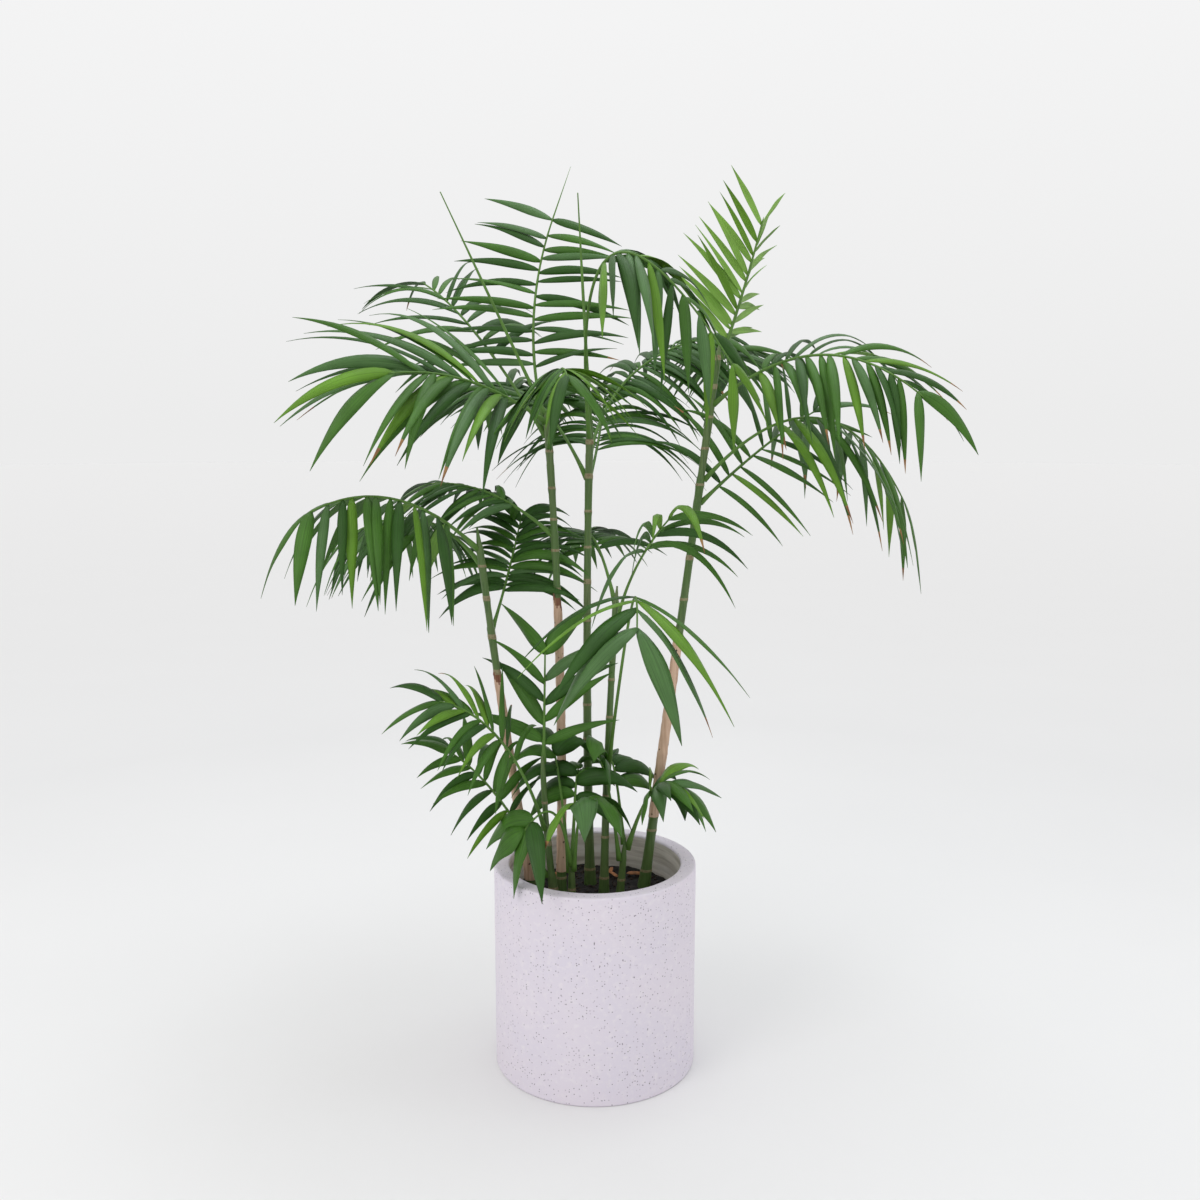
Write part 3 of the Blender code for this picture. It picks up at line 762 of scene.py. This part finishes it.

# How often each green is taken. The back palette's deeper greens are painted shade on the fronds at the
# back of the plant, and the bluish green is painted sheen
PALETTES = {
    "front": (("leaf_mid", 6), ("leaf_bright", 2), ("leaf_blue", 2), ("leaf_deep", 3)),
    "back": (("leaf_deep", 6), ("leaf_mid", 4), ("leaf_blue", 1)),
    "young": (("leaf_young", 6), ("leaf_bright", 3)),
}


def add_node(tree, kind, inputs, **options):
    """A shader node with its options and inputs set. An input that is a socket is linked."""
    node = tree.nodes.new(f"ShaderNode{kind}")
    for name, value in options.items():
        setattr(node, name, value)
    for name, value in inputs.items():
        if isinstance(value, bpy.types.NodeSocket):
            tree.links.new(value, node.inputs[name])
        else:
            node.inputs[name].default_value = value
    return node


def laid_over(tree, share, under, over):
    """One colour over another, where the share is one."""
    return add_node(tree, "Mix", {0: share, 6: under, 7: over}, data_type="RGBA").outputs[2]


class Look:
    """Builds a procedural material from a few chained nodes."""

    def __init__(self, name, colour, roughness):
        self.made = bpy.data.materials.new(name)
        self.made.use_nodes = True
        self.tree = self.made.node_tree
        self.shader = self.tree.nodes["Principled BSDF"]
        self.shader.inputs["Base Color"].default_value = (*colour, 1)
        self.shader.inputs["Roughness"].default_value = roughness
        self.colour = (*colour, 1)

    def add(self, kind, inputs, **options):
        return add_node(self.tree, kind, inputs, **options)

    def place(self, stretch=(1, 1, 1), uv=False):
        """Where a pattern lies: on the object, or on a leaf's own sheet."""
        where = self.add("TexCoord", {}).outputs["UV" if uv else "Object"]
        return self.add("Mapping", {"Vector": where, "Scale": stretch}).outputs["Vector"]

    def noise(self, scale, detail=4.0, stretch=(1, 1, 1), uv=False):
        where = self.place(stretch, uv)
        return self.add("TexNoise", {"Vector": where, "Scale": scale, "Detail": detail}).outputs["Fac"]

    def ramp(self, fac, low, high):
        """Zero below low and one above high."""
        return self.add("MapRange", {"Value": fac, "From Min": low, "From Max": high}).outputs["Result"]

    def away(self, near):
        """Zero up to a distance from the object's middle, and rising to one far off."""
        distance = self.add("VectorMath", {0: self.place()}, operation="LENGTH").outputs["Value"]
        ratio = self.add("Math", {0: near, 1: distance}, operation="DIVIDE").outputs["Value"]
        return self.ramp(ratio, 1.0, 0.0)

    def specks(self, scale, size, share):
        """Round specks in a chosen share of a cell pattern's cells."""
        cells = self.add("TexVoronoi", {"Vector": self.place(), "Scale": scale})
        split = self.add("SeparateColor", {"Color": cells.outputs["Color"]})
        small = self.ramp(cells.outputs["Distance"], size, size * SPECK_CORE)
        chosen = self.ramp(split.outputs["Red"], 1 - share, 1 - share + SPECK_SOFT)
        return self.add("Math", {0: small, 1: chosen}, operation="MULTIPLY").outputs["Value"]

    def tint(self, fac, colour):
        """Lays a colour over what there is, where the pattern is one."""
        self.colour = laid_over(self.tree, fac, self.colour, (*colour, 1))
        self.tree.links.new(self.colour, self.shader.inputs["Base Color"])

    def mottle(self, colour, low, high, *pattern):
        """Lays a colour over the places where a noise pattern is high."""
        self.tint(self.ramp(self.noise(*pattern), low, high), colour)

    def finish(self, height, depth):
        """The material, with a pattern as its relief."""
        bump = self.add("Bump", {"Height": height, "Strength": 1.0, "Distance": depth})
        self.tree.links.new(bump.outputs["Normal"], self.shader.inputs["Normal"])
        return self.made


def scaled(colour, share):
    return tuple(channel * share for channel in colour)


def leaf_look(name):
    """A leaflet's green, streaked along its veins and a little uneven."""
    colour, roughness = GREENS[name]
    look = Look(name, colour, roughness)
    look.shader.inputs["Specular IOR Level"].default_value = LEAF_SHINE
    look.mottle(scaled(colour, 1.35), 0.50, 0.70, 11, 2.0)
    look.mottle(scaled(colour, 1.45), 0.35, 0.75, 14)
    veins = look.noise(1.0, 2.0, (34, 1.2, 1), uv=True)
    look.tint(look.ramp(veins, 0.45, 0.75), scaled(colour, 0.62))
    return look.finish(veins, 0.0006)


def rough_look(name):
    """A dull surface with patches and grain."""
    colour, roughness, patches, (low, high), scale, grain, depth = ROUGH[name]
    look = Look(name, colour, roughness)
    look.mottle(patches, low, high, scale)
    return look.finish(look.noise(grain), depth)


def cane_look():
    """Green cane with fine streaks along it and paler patches."""
    look = Look("cane_green", (0.075, 0.145, 0.032), 0.45)
    look.mottle((0.120, 0.165, 0.060), 0.45, 0.7, 9, 3.0)
    look.mottle((0.045, 0.095, 0.020), 0.5, 0.75, 260, 3.0, (1, 1, 0.04))
    return look.finish(look.noise(320, 3.0, (1, 1, 0.05)), 0.0003)


def sheath_look():
    """Papery old leaf base: tan-pink, fibrous, with dark flecks."""
    look = Look("sheath_tan", (0.62, 0.43, 0.31), 0.75)
    look.mottle((0.44, 0.27, 0.18), 0.45, 0.75, 240, 4.0, (1, 1, 0.05))
    look.tint(look.specks(130, 0.34, 0.10), (0.045, 0.028, 0.020))
    return look.finish(look.noise(300, 4.0, (1, 1, 0.06)), 0.0006)


def sheath_end_look():
    """The brown, ragged upper end of an old leaf base."""
    look = Look("sheath_brown", (0.17, 0.065, 0.035), 0.8)
    look.mottle((0.30, 0.17, 0.09), 0.4, 0.7, 180, 4.0, (1, 1, 0.1))
    return look.finish(look.noise(260), 0.0006)


def terrazzo_look():
    """Pale lilac cast stone with fine dark and grey specks and a soft mottle."""
    look = Look("terrazzo", (0.745, 0.690, 0.765), 0.72)
    look.mottle((0.715, 0.670, 0.760), 0.35, 0.7, 7, 3.0)
    look.mottle((0.775, 0.730, 0.790), 0.52, 0.72, 90)
    look.tint(look.specks(150, 0.26, 0.34), (0.560, 0.505, 0.585))
    look.tint(look.specks(210, 0.27, 0.17), (0.230, 0.195, 0.240))
    look.tint(look.specks(95, 0.13, 0.16), (0.110, 0.090, 0.115))
    return look.finish(look.noise(420, 3.0), 0.00012)


def pot_inside_look():
    """The rough inner wall, brushed round in warm grey streaks."""
    look = Look("pot_inside", (0.70, 0.66, 0.61), 0.85)
    look.mottle((0.46, 0.42, 0.38), 0.4, 0.65, 9, 4.0, (1, 1, 14))
    look.mottle((0.82, 0.79, 0.76), 0.55, 0.7, 5, 3.0, (1, 1, 5))
    return look.finish(look.noise(12, 4.0, (1, 1, 12)), 0.0015)


def floor_look():
    look = Look("studio_floor", FLOOR_NEAR, 0.9)
    look.mottle(scaled(FLOOR_NEAR, FLOOR_MOTTLE), 0.3, 0.8, 1.5)
    # Painted light: the floor's colour grows paler beyond the near reach
    look.tint(look.away(FLOOR_NEAR_REACH), FLOOR_FAR_PAINTED_LIGHT)
    return look.made


def add_object(name, data):
    made = bpy.data.objects.new(name, data)
    bpy.context.scene.collection.objects.link(made)
    return made


class Sheet:
    """Gathers vertices, faces, their material numbers and places on a leaf for one mesh."""

    def __init__(self):
        self.verts, self.faces, self.looks, self.places = [], [], [], []

    def grid(self, rows, look, places=None, closed=False):
        """Joins rows of points into faces. Look gives a face's material number."""
        first, wide = len(self.verts), len(rows[0])
        for row in rows:
            self.verts += row
        self.places += places or [(0.0, 0.0)] * (len(rows) * wide)
        for i in range(len(rows) - 1):
            for k in range(wide if closed else wide - 1):
                a, b = first + i * wide + k, first + i * wide + (k + 1) % wide
                self.faces.append((a, b, b + wide, a + wide))
                self.looks.append(look(i, k) if callable(look) else look)
        return first

    def tube(self, rows, look=0):
        """Rings of points joined into a tube, and closed at both ends."""
        first, wide = self.grid(rows, look, closed=True), len(rows[0])
        self.faces.append(tuple(reversed(range(first, first + wide))))
        self.faces.append(tuple(range(len(self.verts) - wide, len(self.verts))))
        self.looks += [0, 0]

    def made(self, name, materials):
        """The finished mesh as a new object."""
        mesh = bpy.data.meshes.new(name)
        mesh.from_pydata([tuple(v) for v in self.verts], [], self.faces)
        mesh.polygons.foreach_set("material_index", self.looks)
        mesh.polygons.foreach_set("use_smooth", [True] * len(self.faces))
        for material in materials:
            mesh.materials.append(material)
        corners = np.empty(len(mesh.loops), dtype=np.int32)
        mesh.loops.foreach_get("vertex_index", corners)
        sheet = mesh.uv_layers.new(name="sheet")
        sheet.data.foreach_set("uv", np.array(self.places, dtype=np.float32)[corners].ravel())
        mesh.update()
        return add_object(name, mesh)

    def piece(self, name, materials, slot, nodes=()):
        """The finished mesh as a piece that rides with the part."""
        piece = self.made(name, materials)
        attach(piece, "root")
        if nodes:
            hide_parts(*nodes)
        return piece


def sharpen(piece, above):
    """Keeps the edges of a piece sharp where they bend by more than some degrees."""
    piece.data.set_sharp_from_angle(angle=math.radians(above))


def make_pot(looks):
    """The planter with a soft rim and foot, smooth outside and brushed inside."""
    profile = pot_profile(EDGE_FINE_STEPS)
    last_outer = len(profile) - 2
    rows = [level_ring(UP * height, radius, POT_FINE_SIDES) for radius, height in profile]
    sheet = Sheet()
    sheet.tube(rows, lambda i, k: int(i >= last_outer))
    materials = [looks["terrazzo"], looks["pot_inside"]]
    sharpen(sheet.piece("planter_shell", materials, "terrazzo", ["pot"]), POT_SHARP)


def soil_height(x, y):
    """Small lumps and hollows, kept under the level of the soil solid's top."""
    broad = noise.noise(Vector((x, y, 0)) * BROAD_LUMPS)
    fine = noise.noise(Vector((x, y, 4)) * FINE_LUMPS)
    return SOIL_TOP - SOIL_DIP + LUMP_HEIGHT * (broad + 0.5 * fine)


def make_soil(looks):
    """The lumpy surface of the potting mix, closed underneath."""
    radius = POT_RADIUS - POT_WALL - GAP
    rows = []
    for i in range(SOIL_RINGS + 1):
        ring = level_ring(Vector(), max(radius * i / SOIL_RINGS, SOIL_MIDDLE), SOIL_SPOKES)
        rows.append([Vector((p.x, p.y, soil_height(p.x, p.y))) for p in ring])
    rows.append([Vector((p.x, p.y, SOIL_TOP - SOIL_DEPTH)) for p in rows[-1]])
    sheet = Sheet()
    sheet.tube(rows)
    sheet.piece("potting_mix_top", [looks["potting_mix"]], "soil", ["soil"])


def make_chips(looks):
    """Bark chips scattered over the potting mix."""
    dice = random.Random(CHIP_SEED)
    sheet = Sheet()
    for _ in range(CHIPS):
        turn, way = dice.uniform(0, 2 * math.pi), math.sqrt(dice.random())
        reach = (POT_RADIUS - POT_WALL - CHIP_MARGIN) * way
        x, y = reach * math.cos(turn), reach * math.sin(turn)
        centre = Vector((x, y, soil_height(x, y) + CHIP_RISE))
        spin = Matrix.Rotation(dice.uniform(0, math.pi), 3, "Z")
        spin = spin @ Matrix.Rotation(dice.uniform(-CHIP_TILT, CHIP_TILT), 3, "X")
        long = dice.uniform(*CHIP_SIZES)
        wide, high = long * dice.uniform(*CHIP_WIDTHS), long * dice.uniform(*CHIP_HEIGHTS)
        rows = []
        for level, share in CHIP_LEVELS:
            corners = [Vector((a * long * share, b * wide * share, level * high)) for a, b in CHIP_CORNERS]
            rows.append([centre + spin @ corner for corner in corners])
        sheet.tube(rows)
    sheet.piece("bark_chips", [looks["bark_chips"]], "soil")


def make_litter(looks):
    """Fallen dry scraps of leaflets on the soil, most of them behind the middle canes."""
    dice = random.Random(LITTER_SEED)
    sheet = Sheet()
    for x, y in LITTER_SPOTS:
        turn = dice.uniform(0, math.pi)
        along = Vector((math.cos(turn), math.sin(turn), LITTER_SLOPE))
        tilt = dice.uniform(-LITTER_TILT, LITTER_TILT)
        across = Vector((-math.sin(turn), math.cos(turn), tilt)).normalized()
        root = Vector((x, y, SOIL_TOP + LITTER_RISE))
        length = dice.uniform(*LITTER_LENGTHS)
        scrap = Blade(root, along.normalized(), across, length, LITTER_WIDTH, LITTER_SAG, 0, 1)
        add_leaflet(sheet, scrap, 1.0, 0, 0, dice)
    thicken(sheet.piece("dry_litter", [looks["dry_litter"]], "soil"))


def thicken(piece):
    """Gives thin sheets of leaves their thickness."""
    solid = piece.modifiers.new("thickness", "SOLIDIFY")
    solid.thickness = LEAF_THICKNESS
    solid.offset = 0.0
    solid.use_even_offset = False


def ring_heights(cane, dice):
    """The heights of a cane's leaf scars, closer together near its top."""
    heights, height = [], SOIL_TOP + FIRST_RING
    while height < cane.top[2] - LAST_RING:
        heights.append(height)
        share = (height - SOIL_TOP) / (cane.top[2] - SOIL_TOP)
        height += mix(RING_SPACING[1], RING_SPACING[0], share) * dice.uniform(*RING_UNEVEN)
    return heights


def make_cane(name, cane, seed, looks):
    """A ringed cane with the bases of its fronds wrapped round it and an old tan sheath.

    Where no folded leaf goes on from it, it narrows to a blunt point."""
    dice = random.Random(seed)
    rings = ring_heights(cane, dice)
    bases = [frond.height for frond in FRONDS.values() if frond.cane == name]
    bare = replace(cane, sheath=(0.0, 0.0))
    phase = dice.uniform(*WAVE_STARTS)
    spear = any(name == carrier for carrier, _ in SPEARS.values())
    steps = round((cane.top[2] - SOIL_TOP + CANE_SINK) / CANE_FINE_STEP)
    heights = [mix(SOIL_TOP - CANE_SINK, cane.top[2], i / steps) for i in range(steps + 1)]

    def sheath_top(turn):
        broad, fine = SHEATH_WAVES
        return cane.sheath[1] + broad * math.sin(turn + phase) + fine * math.sin(3 * turn + phase)

    rows = []
    for height in heights:
        radius = cane_radius(bare, max(height, SOIL_TOP))
        radius += sum(RING_LIP * math.exp(-(((height - ring) / RING_HEIGHT) ** 2)) for ring in rings)
        below = [base - height for base in bases if 0 <= base - height < BASE_WRAP_LENGTH]
        wraps = [1 - distance / BASE_WRAP_LENGTH for distance in below]
        radius += BASE_WRAP * max(wraps, default=0.0)
        if not spear:
            radius *= max(CANE_END_SHARE, min(1.0, (cane.top[2] - height) / CANE_END)) ** 0.5
        row = []
        for turn in turns_round(CANE_FINE_SIDES):
            inside = cane.sheath[0] < height < sheath_top(turn)
            crinkle = CRINKLES[0] * math.sin(7 * turn + phase)
            crinkle += CRINKLES[1] * math.sin(height * CRINKLE_PITCH + 2 * turn)
            wide = radius + (SHEATH_THICKNESS + crinkle if inside else 0.0)
            row.append(cane_point(cane, height) + wide * level_way(turn))
        rows.append(row)

    def face_look(i, k):
        """Which of the cane's four materials a face has."""
        height, turn = heights[i], 2 * math.pi * k / CANE_FINE_SIDES
        if cane.sheath[0] < height < sheath_top(turn):
            return 3 if height > sheath_top(turn) - SHEATH_END else 2
        return int(any(SCAR_BAND[0] < height - ring < SCAR_BAND[1] for ring in rings))

    sheet = Sheet()
    sheet.tube(rows, face_look)
    materials = [looks["cane"], looks["cane_scar"], looks["sheath"], looks["sheath_end"]]
    sharpen(sheet.piece(f"{name}_skin", materials, "cane", [name]), CANE_SHARP)


def make_spear(name, looks):
    """A leaf that is still folded, pleated round and drawn out to a thin tip."""
    cane, tip = SPEARS[name]
    start, end = Vector(CANES[cane].top) - UP * SPEAR_SINK, Vector(tip)
    rows = []
    for i in range(SPEAR_FINE_STEPS + 1):
        share = i / SPEAR_FINE_STEPS
        radius = mix(*SPEAR_RADII, share)
        ring = []
        for turn in turns_round(SPEAR_FINE_SIDES):
            pleat = 1 + SPEAR_PLEAT_DEPTH * math.cos(SPEAR_PLEATS * (turn + SPEAR_PLEAT_TURN * share))
            ring.append(start.lerp(end, share) + radius * pleat * level_way(turn))
        rows.append(ring)
    sheet = Sheet()
    sheet.tube(rows)
    sheet.piece(f"{name}_folded", [looks["rib_green"]], "young_leaf", [name])


def make_rib(name, rib, blades, looks):
    """The rounded stalk and rib, swollen where it leaves the cane and at each leaflet."""
    frond = FRONDS[name]
    length = rib.length()
    rows = []
    for i in range(RIB_FINE_STEPS + 2):
        share = min(1.0, i / RIB_FINE_STEPS)
        ahead, right, up = rib.axes(share)
        near = min(abs(blade.share - share) for blade in blades) * length
        swell = RIB_SWELL * math.exp(-share * length / RIB_SWELL_LENGTH)
        radius = mix(RIB_BASE, RIB_TIP, share) * (RIB_SLIM + swell)
        radius *= 1 + KNOT_SWELL * math.exp(-((near / KNOT_LENGTH) ** 2))
        centre = rib.point(share)
        if i == 0:
            centre = centre - ahead * RIB_SINK
        if i > RIB_FINE_STEPS:
            centre, radius = centre + ahead * frond.thread, THREAD_RADIUS
        ring = []
        for turn in turns_round(RIB_FINE_SIDES):
            ring.append(centre + right * (radius * math.cos(turn)) + up * (radius * math.sin(turn)))
        rows.append(ring)
    sheet = Sheet()
    sheet.tube(rows)
    nodes = [f"{name}_stalk"] if frond.parted else []
    sheet.piece(f"{name}_rib", [looks["rib_green"]], frond.look, nodes)


def outline(share):
    """A leaflet's width along its length: a narrow root, widest before the middle, a long tip."""
    middle = math.sin(math.pi * share**OUTLINE_LEAN) ** OUTLINE_ROUND
    return OUTLINE_ROOT * (1 - share) ** 4 + OUTLINE_TIP + middle * (1 - OUTLINE_TIP)


def slimness(name):
    """How much narrower a frond's leaflets are than those of its solid."""
    if name in OPEN_FRONDS:
        return OPEN_SLIM
    if name.startswith(BROAD_FRONDS):
        return BROAD_SLIM
    return FINE_SLIM if name.startswith(FINE_FRONDS) else LEAF_SLIM


def blade_between(first, second, size):
    """A leaflet half way between two neighbours, with their mean directions and size."""
    along = (first.along + second.along).normalized()
    across = first.across + second.across
    return replace(
        first,
        root=first.root.lerp(second.root, 0.5),
        along=along,
        across=(across - along * across.dot(along)).normalized(),
        length=0.5 * (first.length + second.length) * size,
        width=0.5 * (first.width + second.width) * size,
        share=0.5 * (first.share + second.share),
    )


def filled(name, blades, dice):
    """The leaflets of the solid, with more of them between neighbours on a fine frond."""
    if not name.startswith(FINE_FRONDS):
        return blades
    made = list(blades)
    for side in (-1, 1):
        row = sorted((blade for blade in blades if blade.side == side), key=lambda blade: blade.share)
        for first, second in zip(row, row[1:]):
            if second.share - first.share <= FILL_WITHIN:
                made.append(blade_between(first, second, dice.uniform(*FILL_SIZES)))
    return made


def loosened(blade, dice):
    """The same leaflet turned a little along its rib and sagging more or less."""
    yaw = math.radians(dice.uniform(-LEAF_YAW, LEAF_YAW))
    turn = Matrix.Rotation(yaw, 3, blade.along.cross(blade.across))
    sag = blade.sag * dice.uniform(*SAG_UNEVEN)
    return replace(blade, along=turn @ blade.along, across=turn @ blade.across, sag=sag)


def add_leaflet(sheet, blade, slim, look, tip_look, dice):
    """One leaflet's sheet, folded along its middle, twisted and sagging."""
    slim = 0.5 * slim * dice.uniform(*LEAF_UNEVEN)
    twist = math.radians(dice.uniform(-LEAF_TWIST, LEAF_TWIST))
    wave = dice.uniform(*WAVE_STARTS)
    centre = blade.root.copy()
    rows, places = [], []
    for i in range(LEAF_STEPS + 1):
        share = i / LEAF_STEPS
        if i:
            centre = centre + blade.way((i - 0.5) / LEAF_STEPS) * (blade.length / LEAF_STEPS)
        way = blade.way(share)
        across = (blade.across - way * blade.across.dot(way)).normalized()
        across = Matrix.Rotation(twist * share, 3, way) @ across
        up = -blade.down(way, across)
        half = slim * blade.width * outline(min(share, LAST_CUT))
        row = []
        for side in LEAF_COLUMNS:
            fold = LEAF_FOLD * (1 - abs(side)) * half
            ripple = LEAF_RIPPLE * half * side * math.sin(LEAF_RIPPLE_PITCH * share + wave)
            row.append(centre + across * (half * side) + up * (fold + ripple))
            places.append((0.5 + 0.5 * side, share))
        rows.append(row)
    sheet.grid(rows, lambda i, k: tip_look if i >= LEAF_STEPS - TIP_FACES else look, places)


def make_leaflets(name, blades, seed, looks):
    """A frond's leaflets, each in one of its palette's greens, some with a dry tip."""
    frond = FRONDS[name]
    dice = random.Random(LEAF_SEED + seed)
    # Fronds at the back take the darker palette: painted shade
    kind = "back" if name.endswith(("_back", "_rear")) else "front"
    palette = PALETTES["young" if frond.look == "young_leaf" else kind]
    names, weights = zip(*palette)
    sheet = Sheet()
    for blade in filled(name, blades, dice):
        look = dice.choices(range(len(names)), weights)[0]
        dry = dice.random() < DRY_TIPS.get(name, DRY_ELSEWHERE)
        tip_look = len(names) if dry else look
        add_leaflet(sheet, loosened(blade, dice), slimness(name), look, tip_look, dice)
    materials = [looks[green] for green in names] + [looks["dry_tip"]]
    thicken(sheet.piece(f"{name}_leaflets", materials, frond.look, [name]))


def all_looks():
    looks = {name: leaf_look(name) for name in GREENS}
    looks.update({name: rough_look(name) for name in ROUGH})
    looks.update(
        cane=cane_look(),
        sheath=sheath_look(),
        sheath_end=sheath_end_look(),
        terrazzo=terrazzo_look(),
        pot_inside=pot_inside_look(),
    )
    return looks


def make_stage():
    """A wide pale floor, and a sky that grows a little paler upwards."""
    sheet = Sheet()
    rows = [level_ring(Vector(), radius, FLOOR_SIDES) for radius in FLOOR_RADII]
    sheet.grid(rows, 0, closed=True)
    sheet.made("studio_floor", [floor_look()])
    world = bpy.data.worlds.new("studio_sky")
    world.use_nodes = True
    tree = world.node_tree
    place = add_node(tree, "TexCoord", {}).outputs["Generated"]
    height = add_node(tree, "SeparateXYZ", {"Vector": place}).outputs["Z"]
    rise = add_node(tree, "MapRange", {"Value": height, "From Max": SKY_RISE}).outputs["Result"]
    sky = laid_over(tree, rise, (*SKY_LOW, 1), (*SKY_HIGH, 1))
    tree.links.new(sky, tree.nodes["Background"].inputs["Color"])
    bpy.context.scene.world = world


def add_light(name, place, target, size, power, colour):
    lamp = bpy.data.lights.new(name, "AREA")
    lamp.shape = "SQUARE"
    lamp.size = size
    lamp.energy = power
    lamp.color = colour
    light = add_object(name, lamp)
    light.location = place
    light.rotation_euler = (Vector(target) - Vector(place)).to_track_quat("-Z", "Y").to_euler()


def make_camera():
    lens = bpy.data.cameras.new("camera")
    lens.lens = LENS
    lens.sensor_width = SENSOR
    camera = add_object("camera", lens)
    camera.location = CAMERA_AT
    camera.rotation_euler = (math.radians(90 - CAMERA_PITCH), 0, 0)
    bpy.context.scene.camera = camera


def main():
    make_camera()
    make_stage()
    for name, light in LIGHTS.items():
        add_light(name, *light)
    bpy.context.scene.view_settings.view_transform = "Standard"
    looks = all_looks()
    make_pot(looks)
    make_soil(looks)
    make_chips(looks)
    make_litter(looks)
    for seed, (name, cane) in enumerate(CANES.items()):
        make_cane(name, cane, seed, looks)
    for name in SPEARS:
        make_spear(name, looks)
    for seed, (name, (rib, blades)) in enumerate(grow().items()):
        make_rib(name, rib, blades, looks)
        make_leaflets(name, blades, seed, looks)


main()
